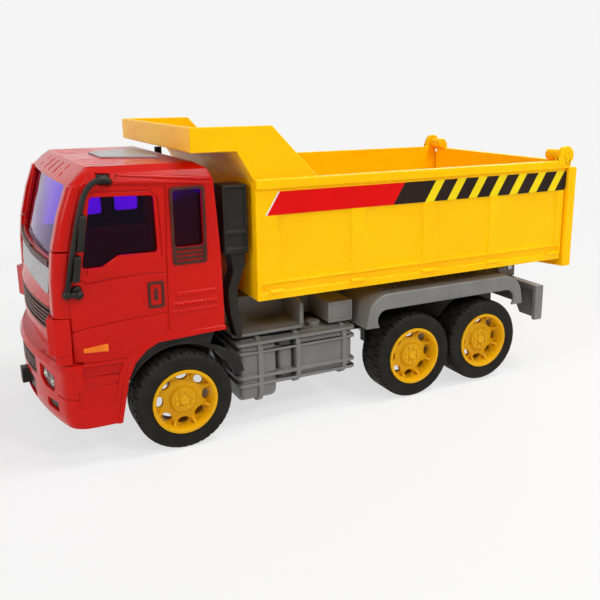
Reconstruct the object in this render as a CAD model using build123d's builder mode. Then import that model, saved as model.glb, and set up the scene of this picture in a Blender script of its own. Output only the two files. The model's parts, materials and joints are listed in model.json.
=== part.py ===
from build123d import *
from math import cos, radians, sin
import os

os.makedirs("parts", exist_ok=True)

# Toy dump truck. X points to the truck's left, Y to its rear and Z up; the wheels stand on Z = 0.
# Places along the truck are first given behind the front axle, and at() turns them into Y.

# ------------------------------------------------------------------ overall and axles
nose_reach = 60.0           # front axle to the tip of the tow hook
tail_reach = 221.0          # front axle to the tailgate's outer face
front_axle_y = (nose_reach - tail_reach) / 2        # the origin lies midway along the truck
wheelbase = 119.6           # front axle to middle axle
bogie_spacing = 44.2        # middle axle to rear axle
rear_axle_lift = 1.0        # the rear axle sits a little higher than the others

tyre_r = 21.8
tyre_width = 17.0
tyre_shoulder_r = 1.8
wheel_face_x = 60.0         # outer face of the tyres
axle_r = 2.0
axle_running_clearance = 0.05
piece_gap = 0.1             # between mouldings that are pushed together

rim_seat_r = 14.5           # barrel that carries the tyre
rim_barrel_wall = 1.7
rim_ring_width = 1.3        # flat outer ring
rim_proud = 0.3             # rim stands out of the tyre's face
rim_disc_depth = 5.2        # tyre face to the disc
rim_disc_thickness = 1.6
rim_hub_r = 5.6
rim_hub_height = 2.6
rim_cap_r = 2.1
rim_cap_height = 1.0
hand_hole_count = 8
hand_hole_depth_r, hand_hole_width_r = 1.7, 2.5      # half sizes, along and across the radius
hand_hole_circle_r = 10.4
gusset_thickness = 1.3

# ------------------------------------------------------------------ cab
cab_half_width = 57.0
cab_wall = 1.8
cab_rear_corner_r = 3.0
least_corner_r = 0.4
cab_bottom_z = 17.0
cab_roof_z = 124.2
# height, inset of the side, nose, front end of the side, rear wall, radius of the front corners
cab_sections = [
    (cab_bottom_z, 0.0, -55.4, -45.4, 18.0, 9.0),
    (20.0, 0.0, -57.0, -46.4, 18.0, 9.0),
    (24.6, 0.0, -57.4, -46.8, 18.0, 9.0),
    (42.6, 0.0, -57.4, -46.8, 18.0, 9.0),
    (44.8, 0.0, -56.2, -45.8, 18.0, 8.6),
    (46.2, 0.0, -52.6, -45.4, 18.0, 7.0),
    (51.6, 0.0, -52.6, -45.6, 18.4, 6.0),
    (53.4, 0.0, -54.5, -46.8, 20.2, 6.0),
    (67.4, 0.0, -54.4, -47.6, 20.0, 6.0),
    (72.6, 0.0, -52.3, -47.4, 19.9, 6.0),
    (88.4, 0.0, -50.7, -46.6, 19.4, 6.0),
    (102.0, 0.3, -46.8, -43.4, 18.6, 6.0),
    (117.6, 0.9, -41.4, -39.6, 17.6, 5.0),
    (121.6, 2.4, -36.6, -35.6, 15.6, 4.0),
    (cab_roof_z, 6.0, -33.0, -32.4, 11.0, 3.0),
]
arch_lip = 0.8              # raised edge round the wheel arch
arch_lip_width = 2.0
# wheel arch as (behind the axle, height), from the front foot over the wheel to the rear
arch_outline = [(-26.8, cab_bottom_z - 5), (-26.8, 17.0), (-22.9, 35.8), (-19.7, 42.6),
                (-14.8, 47.4), (-9.7, 49.9), (16.8, 51.0), (25.0, 51.0), (25.0, cab_bottom_z - 5)]
windscreen_outline = [(-45.0, 87.8), (45.0, 87.8), (46.2, 116.8), (-46.2, 116.8)]
windscreen_corner_r = 3.0
door_window_outline = [(-33.0, 112.8), (-8.0, 112.0), (-7.6, 88.6), (-23.6, 88.8), (-30.2, 84.8),
                       (-38.2, 84.6)]
quarter_window_front, quarter_window_rear = -0.4, 12.2
quarter_window_low, quarter_window_high = 89.6, 113.6
window_corner_r = 1.6
groove_depth, groove_width = 0.45, 0.6
side_grooves = [  # as (behind the front axle, height)
    [(-44.4, 46.2), (-44.2, 65.0)],                                             # door's front edge
    [(-4.9, 54.6), (-4.3, 83.0), (-3.0, 115.6)],                                # door's rear edge
    [(-45.0, 46.0), (-23.3, 45.0)],                                             # door's foot
    [(-44.2, 59.4), (-33.7, 60.9), (-22.5, 61.8), (-4.6, 62.5)],                # swage line
    [(-39.6, 80.6), (-37.0, 78.6), (-25.7, 79.9), (-12.6, 80.3), (-5.6, 79.6)],  # below the window
    [(-34.6, 117.6), (-4.0, 115.6)],                                            # door's head
    [(-36.4, 82.6), (-34.0, 104.0), (-31.6, 114.9), (-9.2, 114.0), (-6.4, 111.2), (-6.0, 87.0)],
]
side_ribs = [  # front, rear, low, high, all raised from the side
    (-1.0, 17.0, 68.8, 70.4),
    (-2.2, 17.0, 64.4, 65.9),
    (-2.8, 17.0, 61.4, 62.7),
]
gutter_lines = [[(-21.0, 120.9), (15.6, 117.7)], [(-21.0, 118.5), (15.6, 115.6)]]
rib_proud = 0.5
step_recesses = [  # depth, outline
    (1.1, [(-41.2, 43.8), (-24.8, 43.2), (-26.4, 39.0), (-41.2, 39.4)]),
    (0.8, [(-41.2, 39.5), (-26.4, 39.1), (-27.2, 34.9), (-41.3, 35.5)]),
    (0.5, [(-41.3, 35.6), (-27.2, 35.0), (-29.2, 26.0), (-43.6, 26.4), (-43.4, 33.2), (-41.3, 33.2)]),
]
arm_recess = [(-30.0, 122.0), (-24.2, 121.4), (-24.2, 116.6), (-30.0, 117.0)]
arm_recess_depth = 1.0
bumper_lip_proud, bumper_lip_low, bumper_lip_high = 0.7, 42.4, 45.0
bumper_lip_rear, bumper_upright_front, bumper_upright_low = -41.3, -43.9, 33.5
# raised pillar beside the windscreen as (height, front, rear)
pillar_sections = [(65.6, -50.4, -44.6), (80.0, -50.0, -44.2), (92.0, -48.6, -43.0), (106.0, -45.0, -39.6),
                   (117.4, -40.8, -36.4)]
pillar_inner_x, pillar_outer_x, pillar_corner_r = 48.4, 57.2, 4.0
pillar_seam_z = 92.2
# corner fairing blocks as (x, behind the front axle)
fairing_outline = [(44.0, -46.0), (44.6, -50.6), (53.4, -53.0), (56.6, -50.6), (57.6, -44.6), (50.0, -44.6)]
fairing_low, fairing_high = 50.2, 65.4
fairing_foot_outline = [(46.0, -46.0), (46.4, -49.6), (53.6, -50.8), (56.2, -48.6), (57.3, -44.6),
                        (50.0, -44.6)]
fairing_foot_low = 46.0
bumper_seam_z, bumper_seam_inner = 30.2, 47.0
roof_slot_places = (18.5, 26.5, 34.5, 42.5)
roof_slot_front, roof_slot_rear, roof_slot_width, roof_slot_depth = -31.6, -14.0, 1.4, 0.8
fascia_slot_places, fascia_slot_low, fascia_slot_high, fascia_slot_width = (0.0, 12.5), 118.8, 122.8, 1.9
fascia_hole_places, fascia_hole_size = ((26.0, 122.2), (27.6, 119.4)), 1.6
quarter_frame_width = 1.2
louvre_low, louvre_slats, louvre_groove = 82.2, 3, 0.7
handle_front, handle_rear, handle_low, handle_high = -12.8, -6.0, 65.2, 76.4
handle_frame_width, handle_grip_width, handle_grip_height = 1.1, 1.5, 5.0
side_trim_proud = 0.5
marker_outline = [(-40.2, 50.3), (-30.4, 49.6), (-30.4, 52.8), (-40.2, 52.0)]
roof_panel_front, roof_panel_rear, roof_panel_bow = -19.5, 3.0, 2.6
roof_panel_front_half, roof_panel_rear_half, roof_panel_thickness = 14.5, 26.0, 0.8
glazing_thickness = 1.2
glazing_low, glazing_high = 82.0, 119.0

# front trims, as (half width, low edge, high edge) seen from the front
front_cut = -30.0           # cuts into the cab's front start here
badge_half_width, badge_low, badge_middle_low, badge_high = 44.6, 72.6, 74.6, 84.4
badge_foot_x = badge_half_width - 1.6
badge_corner_r = 2.0
badge_hole_x, badge_hole_z, badge_hole_r = 26.0, 80.6, 1.1
cowl_half_width, cowl_split, cowl_height, cowl_step, cowl_high = 45.6, 10.0, 2.6, 0.5, 87.6
trim_proud = 0.6
cowl_proud = 1.2
grille_half_width, grille_low, grille_high = 46.0, 56.6, 67.4
grille_slats = 4
lower_grille_half_width, lower_grille_low, lower_grille_high = 24.0, 32.6, 41.0
lower_grille_slats = 3
grille_depth = 1.0          # slats' back plate behind the cab's skin
grille_frame = 0.9
# lamps, seen from the front
lamp_corners = [(29.8, 40.4), (45.0, 37.6), (43.8, 30.6), (35.0, 31.0), (29.8, 33.6)]
lamp_corner_r = 1.6
fog_corners = [(36.2, 26.4), (46.4, 26.8), (46.2, 22.2), (35.8, 22.8)]
fog_corner_r = 0.6
plate_half_width, plate_low, plate_high = 20.0, 20.6, 29.6
tow_hook_half_width, tow_hook_low, tow_hook_high = 4.0, 21.6, 28.6

# ------------------------------------------------------------------ underframe and deck
spine_half_width = 19.0
spine_wall = 2.0
spine_low, spine_high = 26.0, 43.0
spine_front, spine_rear = -46.0, 203.0
bearing_width = 5.0
bearing_half_length = 5.0
bearing_drop = 4.2          # bearing block below the axle's centre
deck_half_width = 28.0
deck_top_z = 56.0
deck_wall = 2.0
deck_front, deck_rear = 24.0, 196.0
shelf_top_z = 44.6
shelf_thickness = 1.6
shelf_edge_x = 50.0
shelf_front, shelf_rear = 26.6, 63.0
shelf_corner_r = 3.0
locker_front, locker_rear = 75.5, 88.6
locker_low, locker_high = 43.2, 53.6
locker_edge_x = 50.0
locker_wall = 1.5
locker_frame, locker_recess = 1.3, 0.7     # of the outer face

liner_inner_r = 24.6
liner_wall = 1.4
liner_inner_x, liner_outer_x = spine_half_width, 55.0
liner_rear_angle, liner_front_angle = 32.0, 150.0
flap_angle, flap_length, flap_outer_x = -8.0, 2.4, 31.0     # narrow rear foot of the front mudguard

fender_edge_x = wheel_face_x
fender_inner_x = deck_half_width
fender_top_z = 56.6
fender_wall = 1.6
fender_flange = 8.0
fender_front, fender_rear = 91.0, 190.0
fender_foot_z = 40.0
fender_slope = 3.4          # length of each steep end
fender_corner_r = 12.0      # round shoulders over the wheels
fender_arch_r = 5.0
fender_foot = 8.4           # width of each foot

bumper_half_width = wheel_face_x - 0.5
bumper_top_z, bumper_mid_z, bumper_low_z = 48.0, 36.4, 28.6
bumper_wing_x, bumper_wing_slope = 43.5, 5.5
bumper_front, bumper_rear = 199.6, 205.0
bumper_plate = 1.8
bumper_edge = 2.4

# ------------------------------------------------------------------ tanks
tank_inner_x = 30.0
tank_band_height = 1.5
tank_band_proud = 1.3
tank_band_levels = (19.4, 23.2, 35.2, 39.4)
tank_strap_width = 2.4
tank_top_z = shelf_top_z - shelf_thickness - tank_band_proud - 0.2
# name, front, rear, outer x, low, high
tank_blocks = [
    ("battery box", 28.6, 47.0, 52.0, 11.4, tank_top_z),
    ("air bottle", 48.4, 55.6, 51.4, 17.4, tank_top_z - 1.0),
    ("fuel tank", 57.0, 87.6, 52.0, 17.4, tank_top_z),
]
tank_strap_places = (38.4, 57.8, 82.8)
tank_edge_r = 5.5
tank_end_r = 2.2
filler_y, filler_x, filler_r, filler_height = 70.0, 44.0, 3.2, 2.6

# ------------------------------------------------------------------ bed
bed_half_width = 60.0
bed_wall = 2.0
bed_front, bed_rear = 35.0, 215.0
bed_skirt_z = 62.0
bed_floor_z, bed_floor_thickness = 64.0, 2.0
bed_rim_z, bed_rim_depth, bed_rim_proud = 116.0, 4.2, 1.4
bed_slope_end = 65.5        # where the high front wall has come down to the rim
visor_front, visor_kink, visor_top_rear = 7.5, 27.6, 44.0
visor_low, visor_high = 128.2, 138.6
panel_depth = 0.9           # visor and panels stand in from the bed's ribs
panel_low, panel_high = 70.6, 100.4
rail_high = 65.6
tab_low, tab_high, tab_proud = 65.0, 66.6, 0.9
# ribs between the recessed panels, as (front, rear)
bed_ribs = [(36.6, 45.3), (82.4, 89.8), (122.4, 129.8), (163.7, 170.3), (209.7, 215.0)]
bed_tabs = [(40.7, 47.9), (82.2, 90.1), (122.3, 131.3), (163.0, 172.2), (204.3, 213.5)]
runner_x, runner_width = 23.0, 3.0
runner_front, runner_rear = 44.0, 194.0
seat_gap = 0.3              # between the bed's runners and the deck

tilt_y, tilt_z = 202.0, 53.6
tilt_pin_r = 1.6
tilt_lug_r = 4.2
tilt_lug_x, tilt_lug_width = 28.6, 3.2
tilt_ear_width = 2.4
tilt_side_clearance = 0.4

# ------------------------------------------------------------------ tailgate
gate_gap = 0.4              # between the bed's end and the tailgate
gate_half_width = bed_half_width + 2.0
gate_plate = 1.8
gate_edge_width = 2.2
gate_high, gate_shoulder_z = 115.4, 112.4
gate_corner_z, gate_low, gate_low_half_width = 58.0, 55.6, bed_half_width / 2
gate_rib_places = (-gate_half_width / 2, 0.0, gate_half_width / 2)
gate_pivot_y, gate_pivot_z = 213.5, 118.6
gate_pin_r = 1.5
ear_r, ear_thickness = 5.0, 3.0
boss_r, boss_inner_x = 3.0, bed_half_width - 12.0
pin_running_clearance = 0.05

# ------------------------------------------------------------------ mirrors and stacks
mirror_arm_r = 1.1
mirror_gap = 0.5            # housing to the cab's side
mirror_face_x = 62.0
mirror_front, mirror_rear = -41.6, -37.6
mirror_housings = [(78.0, 90.2), (92.0, 106.0)]
mirror_root = (-25.0, 118.4)
mirror_elbow = (-32.4, 116.6)
mirror_foot = (-41.0, 76.4)
mirror_ball_r = 1.9

stack_x, stack_half_width = 50.0, 6.0
stack_front, stack_rear = 21.6, 33.0
stack_low, stack_high = 84.0, 114.0
duct_half_width = 4.0
# recessed panels of the intake's outer face, as (low, high)
stack_panels = [(86.6, 92.4), (94.2, 112.4)]
stack_frame, stack_panel_depth = 1.5, 1.1
# duct under the intake as (behind the front axle, height), down to the shelf
duct_outline = [(24.6, stack_low + 1), (32.0, stack_low + 1), (32.0, 78.0), (28.0, 68.0), (28.0, 56.0),
                (29.4, 56.0), (29.4, shelf_top_z), (26.8, shelf_top_z), (24.0, 56.0), (23.2, 67.0),
                (26.0, 76.0)]
exhaust_x, exhaust_y, exhaust_body_r = 49.0, 28.0, 5.0
exhaust_body_low, exhaust_body_high = 56.0, 100.0
exhaust_pipe_y, exhaust_pipe_r, exhaust_top_z = 23.6, 1.9, 123.6
exhaust_foot_y, exhaust_foot_r = 31.6, 2.0


def at(behind_front_axle):
    """Y of a place given as its distance behind the front axle."""
    return front_axle_y + behind_front_axle


def place(points):
    """Move side-view points (behind the front axle, z) to the drawing's frame."""
    return [(at(along), z) for along, z in points]


def finish(builder, name):
    """Label one finished piece and write its file."""
    builder.part.label = name
    export_step(builder.part, f"parts/{name}.step")


# ================================================================== wheels and axles
axles = [  # name, y, z
    ("front", at(0), tyre_r),
    ("middle", at(wheelbase), tyre_r),
    ("rear", at(wheelbase + bogie_spacing), tyre_r + rear_axle_lift),
]
tyre_inner_x = wheel_face_x - tyre_width
rim_face_x = wheel_face_x + rim_proud
disc_x = wheel_face_x - rim_disc_depth          # disc's outer face at its rim
hub_x = disc_x + rim_hub_height
axle_end_x = hub_x - 1.2
barrel_inner_r = rim_seat_r - rim_barrel_wall

rim_profile = [  # along the axle, radius
    (tyre_inner_x + 1.0, barrel_inner_r),
    (tyre_inner_x + 1.0, rim_seat_r),
    (rim_face_x, rim_seat_r),
    (rim_face_x, rim_seat_r - rim_ring_width),
    (rim_face_x - 1.4, barrel_inner_r - 0.1),
    (disc_x, barrel_inner_r - 0.4),
    (disc_x + 1.0, rim_hub_r + 0.8),
    (hub_x - 0.3, rim_hub_r),
    (hub_x, rim_hub_r - 0.4),
    (hub_x, rim_cap_r + 0.2),
    (hub_x + rim_cap_height, rim_cap_r - 0.2),
    (hub_x + rim_cap_height, 0),
    (axle_end_x, 0),
    (axle_end_x, axle_r),
    (tyre_inner_x + 3.0, axle_r),
    (tyre_inner_x + 3.0, axle_r + 2.2),
    (disc_x - rim_disc_thickness, axle_r + 2.8),
    (disc_x - rim_disc_thickness, barrel_inner_r),
]
tyre_bore_r = rim_seat_r + piece_gap / 2
tyre_profile = [
    (tyre_inner_x + 0.8, tyre_bore_r),
    (tyre_inner_x, tyre_bore_r + 2.0),
    (tyre_inner_x, tyre_r),
    (wheel_face_x, tyre_r),
    (wheel_face_x, tyre_bore_r + 2.0),
    (wheel_face_x - 0.8, tyre_bore_r),
]

for axle_name, axle_y, axle_z in axles:
    with BuildPart() as axle:
        with BuildSketch(Plane.YZ):
            with Locations((axle_y, axle_z)):
                Circle(axle_r)
        extrude(amount=axle_end_x, both=True)
    finish(axle, f"{axle_name}_axle")

    for side_name, side in (("left", 1), ("right", -1)):
        spin = Axis((0, axle_y, axle_z), (1, 0, 0))
        section = Plane(origin=(0, axle_y, axle_z), x_dir=(side, 0, 0), z_dir=(0, -side, 0))
        wheel_plane = Plane(origin=(0, axle_y, axle_z), x_dir=(0, 1, 0), z_dir=(side, 0, 0))

        with BuildPart() as rim:
            with BuildSketch(section):
                with BuildLine():
                    Polyline(*rim_profile, close=True)
                make_face()
            revolve(axis=spin)
            with BuildSketch(wheel_plane.offset(disc_x - rim_disc_thickness - 1)):
                with PolarLocations(hand_hole_circle_r, hand_hole_count):
                    Ellipse(hand_hole_depth_r, hand_hole_width_r)
            extrude(amount=rim_disc_thickness + 2.4, mode=Mode.SUBTRACT)
            half_step = 180 / hand_hole_count
            for number in range(hand_hole_count):
                turn = radians(half_step + 2 * half_step * number)
                gusset_plane = Plane(origin=(0, axle_y, axle_z), x_dir=(side, 0, 0),
                                     z_dir=(0, -side * cos(turn), sin(turn)))
                with BuildSketch(gusset_plane):
                    with BuildLine():
                        Polyline((disc_x - 0.6, barrel_inner_r + 0.6),
                                 (rim_face_x - 2.6, barrel_inner_r + 0.6),
                                 (rim_face_x - 2.8, barrel_inner_r - 1.0),
                                 (disc_x - 0.4, barrel_inner_r - 3.4), close=True)
                    make_face()
                extrude(amount=gusset_thickness / 2, both=True)
        finish(rim, f"{axle_name}_rim_{side_name}")

        with BuildPart() as tyre:
            with BuildSketch(section) as tyre_section:
                with BuildLine():
                    Polyline(*tyre_profile, close=True)
                make_face()
                fillet(tyre_section.vertices().group_by(Axis.Z)[-1], tyre_shoulder_r)
            revolve(axis=spin)
        finish(tyre, f"{axle_name}_tyre_{side_name}")


# ================================================================== cab
def cab_body(grow):
    """Lofted outer form of the cab, with every face moved outwards by grow."""
    with BuildPart() as body:
        for z, inset, nose, side_front, back, corner_r in cab_sections:
            half = cab_half_width - inset + grow
            top_shift = grow if z == cab_roof_z else 0
            with BuildSketch(Plane.XY.offset(z + top_shift)):
                with BuildLine():
                    ThreePointArc((-half, at(side_front - grow)), (0, at(nose - grow)),
                                  (half, at(side_front - grow)))
                    Polyline((half, at(side_front - grow)), (half, at(back + grow)),
                             (-half, at(back + grow)), (-half, at(side_front - grow)))
                outline = make_face()
                corners = outline.vertices().sort_by(Axis.Y)
                fillet(corners[:2], max(least_corner_r, corner_r + grow))
                fillet(corners[2:], max(least_corner_r, cab_rear_corner_r + grow))
        loft(ruled=True)
    return body.part


def front_plate(outline, inner, outer):
    """Part of the cab's front skin between two bowed surfaces, inside an outline on XZ."""
    with BuildPart() as plate:
        add(outer)
        add(inner, mode=Mode.SUBTRACT)
        with BuildSketch(Plane.XZ.offset(-at(front_cut))):
            add(outline)
        extrude(amount=40, mode=Mode.INTERSECT)
    return plate.part


def panel_outline(half_width, low, high, corner_r):
    """Rounded rectangle about the truck's middle, seen from the front."""
    with BuildSketch() as outline:
        with Locations((0, (low + high) / 2)):
            RectangleRounded(2 * half_width, high - low, corner_r)
    return outline.sketch


def lamp_outline(corners, corner_r, shrink):
    """Outlines of a pair of lamps, seen from the front."""
    with BuildSketch() as outline:
        for side in (1, -1):
            with BuildSketch() as lamp:
                with BuildLine():
                    Polyline(*[(side * x, z) for x, z in corners], close=True)
                make_face()
                fillet(lamp.vertices(), corner_r)
                if shrink:
                    offset(amount=-shrink)
            add(lamp.sketch)
    return outline.sketch


def slat_outline(half_width, low, high, count, bar):
    """Frame and level slats of a grille, seen from the front."""
    inner_width = 2 * (half_width - grille_frame)
    inner_height = high - low - 2 * grille_frame
    pitch = inner_height / (count + 1)
    with BuildSketch() as outline:
        with Locations((0, (low + high) / 2)):
            RectangleRounded(2 * half_width, high - low, 1.2)
            Rectangle(inner_width, inner_height, mode=Mode.SUBTRACT)
        for number in range(1, count + 1):
            with Locations((0, low + grille_frame + pitch * number)):
                Rectangle(inner_width + 1, bar)
    return outline.sketch


mirror_inner_x = cab_half_width - cab_wall            # the mirrors are plugged into the cab's wall
mirror_root_x = mirror_inner_x - 0.8
arm_x = cab_half_width + mirror_arm_r + 0.6
cab_skin = cab_body(0)
cab_cavity = cab_body(-cab_wall)
trim_skin = cab_body(trim_proud)
grille_back = cab_body(-grille_depth)

def line_strip(lines, width):
    """Thin bands along broken lines given behind the front axle and by height."""
    with BuildSketch() as strip:
        for line in lines:
            for (from_y, from_z), (to_y, to_z) in zip(line, line[1:]):
                along = Vector(to_y - from_y, to_z - from_z)
                with Locations(Location((at((from_y + to_y) / 2), (from_z + to_z) / 2),
                                        along.get_signed_angle(Vector(1, 0), Vector(0, 0, -1)))):
                    Rectangle(along.length + width, width)
    return strip.sketch


def side_relief(outline, floor):
    """What lies outside a body within an outline on the side view, on both sides."""
    with BuildPart() as relief:
        with BuildSketch(Plane.YZ):
            add(outline)
        extrude(amount=cab_half_width + 10, both=True)
        add(floor, mode=Mode.SUBTRACT)
    return relief.part


def side_outline(points):
    """Closed outline on the side view."""
    with BuildSketch() as outline:
        with BuildLine():
            Polyline(*place(points), close=True)
        make_face()
    return outline.sketch


rib_skin = cab_body(rib_proud)
groove_skin = cab_body(-groove_depth)
with BuildPart() as cab_ribs:                               # ribs and gutters, raised from both sides
    with BuildSketch(Plane.YZ):
        for front, rear, low, high in side_ribs:
            with Locations((at((front + rear) / 2), (low + high) / 2)):
                Rectangle(rear - front, high - low)
        add(line_strip(gutter_lines, 0.9))
    extrude(amount=cab_half_width + 10, both=True)
    add(rib_skin, mode=Mode.INTERSECT)

with BuildPart() as bumper_lip:                             # lip over the bumper, turned down at its ends
    with BuildSketch(Plane.YZ):
        with BuildLine():
            Polyline(*place([(-70, bumper_lip_low), (bumper_upright_front, bumper_lip_low),
                             (bumper_upright_front, bumper_upright_low),
                             (bumper_lip_rear, bumper_upright_low),
                             (bumper_lip_rear, bumper_lip_high), (-70, bumper_lip_high)]), close=True)
        make_face()
    extrude(amount=cab_half_width + 10, both=True)
    add(cab_body(bumper_lip_proud), mode=Mode.INTERSECT)

with BuildPart() as front_grooves:
    with BuildSketch(Plane.XZ.offset(-at(front_cut))):
        for side in (1, -1):
            with Locations((side * (pillar_inner_x + cab_half_width) / 2, pillar_seam_z)):
                Rectangle(cab_half_width - pillar_inner_x + 6, groove_width)
            with Locations((side * (bumper_seam_inner + cab_half_width) / 2, bumper_seam_z)):
                Rectangle(cab_half_width - bumper_seam_inner, groove_width)
    extrude(amount=40)
    add(groove_skin, mode=Mode.SUBTRACT)

with BuildPart() as cab_shell:
    add(cab_skin)
    add(cab_ribs.part)
    add(bumper_lip.part)
    for side in (1, -1):
        with BuildPart() as pillar:
            for z, front, rear in pillar_sections:
                with BuildSketch(Plane.XY.offset(z)):
                    with Locations((side * (pillar_inner_x + pillar_outer_x) / 2, at((front + rear) / 2))):
                        column = Rectangle(pillar_outer_x - pillar_inner_x, rear - front)
                    leading = column.vertices().group_by(Axis.Y)[0]
                    fillet(leading.sort_by(Axis.X)[-1 if side > 0 else 0], pillar_corner_r)
            loft(ruled=True)
        add(pillar.part)
        for outline, low, high in ((fairing_outline, fairing_low, fairing_high),
                                   (fairing_foot_outline, fairing_foot_low, fairing_low)):
            with BuildSketch(Plane.XY.offset(low)):
                with BuildLine():
                    Polyline(*[(side * x, at(along)) for x, along in outline], close=True)
                make_face()
            extrude(amount=high - low)
    with BuildSketch(Plane.YZ):                             # raised edge round each wheel arch
        with BuildLine():
            Polyline(*place(arch_outline), close=True)
        make_face()
        offset(amount=arch_lip_width, kind=Kind.INTERSECTION)
        with Locations((at(-5), 60)):
            Rectangle(44, 40, align=(Align.CENTER, Align.MIN), mode=Mode.SUBTRACT)
        with Locations((at(20.5), 30)):
            Rectangle(20, 60, align=(Align.MIN, Align.CENTER), mode=Mode.SUBTRACT)
        with Locations((0, cab_bottom_z)):
            Rectangle(400, 40, align=(Align.CENTER, Align.MAX), mode=Mode.SUBTRACT)
    extrude(amount=cab_half_width + arch_lip, both=True)
    add(cab_cavity, mode=Mode.SUBTRACT)
    with BuildSketch(Plane.YZ):
        with BuildLine():
            Polyline(*place(arch_outline), close=True)
        make_face()
    extrude(amount=80, both=True, mode=Mode.SUBTRACT)
    with BuildSketch(Plane.XZ.offset(-at(front_cut))):      # windscreen
        with BuildLine():
            Polyline(*windscreen_outline, close=True)
        opening = make_face()
        fillet(opening.vertices(), windscreen_corner_r)
    extrude(amount=40, mode=Mode.SUBTRACT)
    with BuildSketch(Plane.YZ):                             # door and quarter windows
        with BuildLine():
            Polyline(*place(door_window_outline), close=True)
        opening = make_face()
        fillet(opening.vertices(), window_corner_r)
    extrude(amount=80, both=True, mode=Mode.SUBTRACT)
    with BuildSketch(Plane.YZ):
        with Locations((at((quarter_window_front + quarter_window_rear) / 2),
                        (quarter_window_low + quarter_window_high) / 2)):
            RectangleRounded(quarter_window_rear - quarter_window_front,
                             quarter_window_high - quarter_window_low, window_corner_r)
    extrude(amount=80, both=True, mode=Mode.SUBTRACT)
    with BuildSketch(Plane.XZ.offset(-at(front_cut))):      # openings for grilles, lamps and plate
        add(panel_outline(grille_half_width, grille_low, grille_high, 1.2))
        add(panel_outline(lower_grille_half_width, lower_grille_low, lower_grille_high, 1.2))
        add(lamp_outline(lamp_corners, lamp_corner_r, 0))
        add(lamp_outline(fog_corners, fog_corner_r, 0))
        add(panel_outline(plate_half_width, plate_low, plate_high, 1.2))
    extrude(amount=40, mode=Mode.SUBTRACT)
    add(side_relief(line_strip(side_grooves, groove_width), groove_skin), mode=Mode.SUBTRACT)
    for depth, outline in step_recesses:
        add(side_relief(side_outline(outline), cab_body(-depth)), mode=Mode.SUBTRACT)
    add(side_relief(side_outline(arm_recess), cab_body(-arm_recess_depth)), mode=Mode.SUBTRACT)
    add(front_grooves.part, mode=Mode.SUBTRACT)
    with BuildSketch(Plane.XY.offset(cab_roof_z - roof_slot_depth)):   # slots in the roof
        for slot_x in roof_slot_places:
            with Locations((slot_x, at((roof_slot_front + roof_slot_rear) / 2)),
                           (-slot_x, at((roof_slot_front + roof_slot_rear) / 2))):
                Rectangle(roof_slot_width, roof_slot_rear - roof_slot_front)
    extrude(amount=10, mode=Mode.SUBTRACT)
    with BuildSketch(Plane.XZ.offset(-at(front_cut))):      # slots and holes over the windscreen
        for slot_x in fascia_slot_places:
            with Locations((slot_x, (fascia_slot_low + fascia_slot_high) / 2),
                           (-slot_x, (fascia_slot_low + fascia_slot_high) / 2)):
                Rectangle(fascia_slot_width, fascia_slot_high - fascia_slot_low)
        for hole_x, hole_z in fascia_hole_places:
            with Locations((hole_x, hole_z), (-hole_x, hole_z)):
                Rectangle(fascia_hole_size, fascia_hole_size)
    extrude(amount=40, mode=Mode.SUBTRACT)
    with BuildSketch(Plane.YZ):                             # sockets of the mirrors
        with Locations((at(mirror_root[0]), mirror_root[1])):
            Circle(mirror_arm_r + piece_gap)
        with Locations((at(mirror_foot[0]), mirror_foot[1])):
            Circle(mirror_ball_r + piece_gap)
    extrude(amount=80, both=True, mode=Mode.SUBTRACT)
finish(cab_shell, "cab_shell")

glass_outer = cab_body(-cab_wall - piece_gap)
glass_inner = cab_body(-cab_wall - piece_gap - glazing_thickness)
with BuildPart() as cab_glazing:
    add(glass_outer)
    add(glass_inner, mode=Mode.SUBTRACT)
    with BuildSketch(Plane.YZ):
        with Locations((at(-20.0), glazing_low)):
            Rectangle(70, glazing_high - glazing_low, align=(Align.CENTER, Align.MIN))
    extrude(amount=80, both=True, mode=Mode.INTERSECT)
finish(cab_glazing, "cab_glazing")

with BuildSketch() as badge_outline:
    with BuildLine():
        Polyline((badge_foot_x, badge_low), (badge_half_width, badge_high),
                 (-badge_half_width, badge_high), (-badge_foot_x, badge_low))
        ThreePointArc((-badge_foot_x, badge_low), (0, badge_middle_low), (badge_foot_x, badge_low))
    face = make_face()
    fillet(face.vertices(), badge_corner_r)
    with Locations((badge_hole_x, badge_hole_z), (-badge_hole_x, badge_hole_z)):
        RegularPolygon(radius=badge_hole_r, side_count=3, rotation=30, mode=Mode.SUBTRACT)
with BuildPart() as badge_panel:
    add(front_plate(badge_outline.sketch, cab_skin, trim_skin))
finish(badge_panel, "badge_panel")

with BuildSketch() as cowl_outline:                         # two wipers, one a step higher than the other
    for inner, outer, top in ((cowl_split, cowl_half_width, cowl_high - cowl_step),
                              (cowl_split, -cowl_half_width, cowl_high)):
        with Locations(((inner + outer) / 2, top - cowl_height / 2)):
            Rectangle(abs(outer - inner), cowl_height)
with BuildPart() as wiper_cowl:
    add(front_plate(cowl_outline.sketch, cab_skin, cab_body(cowl_proud)))
finish(wiper_cowl, "wiper_cowl")

for name, half_width, low, high, slats in (
        ("upper_grille", grille_half_width, grille_low, grille_high, grille_slats),
        ("lower_grille", lower_grille_half_width, lower_grille_low, lower_grille_high, lower_grille_slats)):
    with BuildPart() as grille:
        add(front_plate(panel_outline(half_width - piece_gap, low + piece_gap, high - piece_gap, 1.1),
                        cab_cavity, grille_back))
        add(front_plate(slat_outline(half_width - piece_gap, low + piece_gap, high - piece_gap, slats, 1.1),
                        cab_cavity, cab_skin))
    finish(grille, name)

with BuildPart() as headlamps:
    add(front_plate(lamp_outline(lamp_corners, lamp_corner_r, piece_gap), cab_cavity, grille_back))
finish(headlamps, "headlamps")

with BuildPart() as fog_lamps:
    add(front_plate(lamp_outline(fog_corners, fog_corner_r, piece_gap), cab_cavity, grille_back))
finish(fog_lamps, "fog_lamps")

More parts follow.
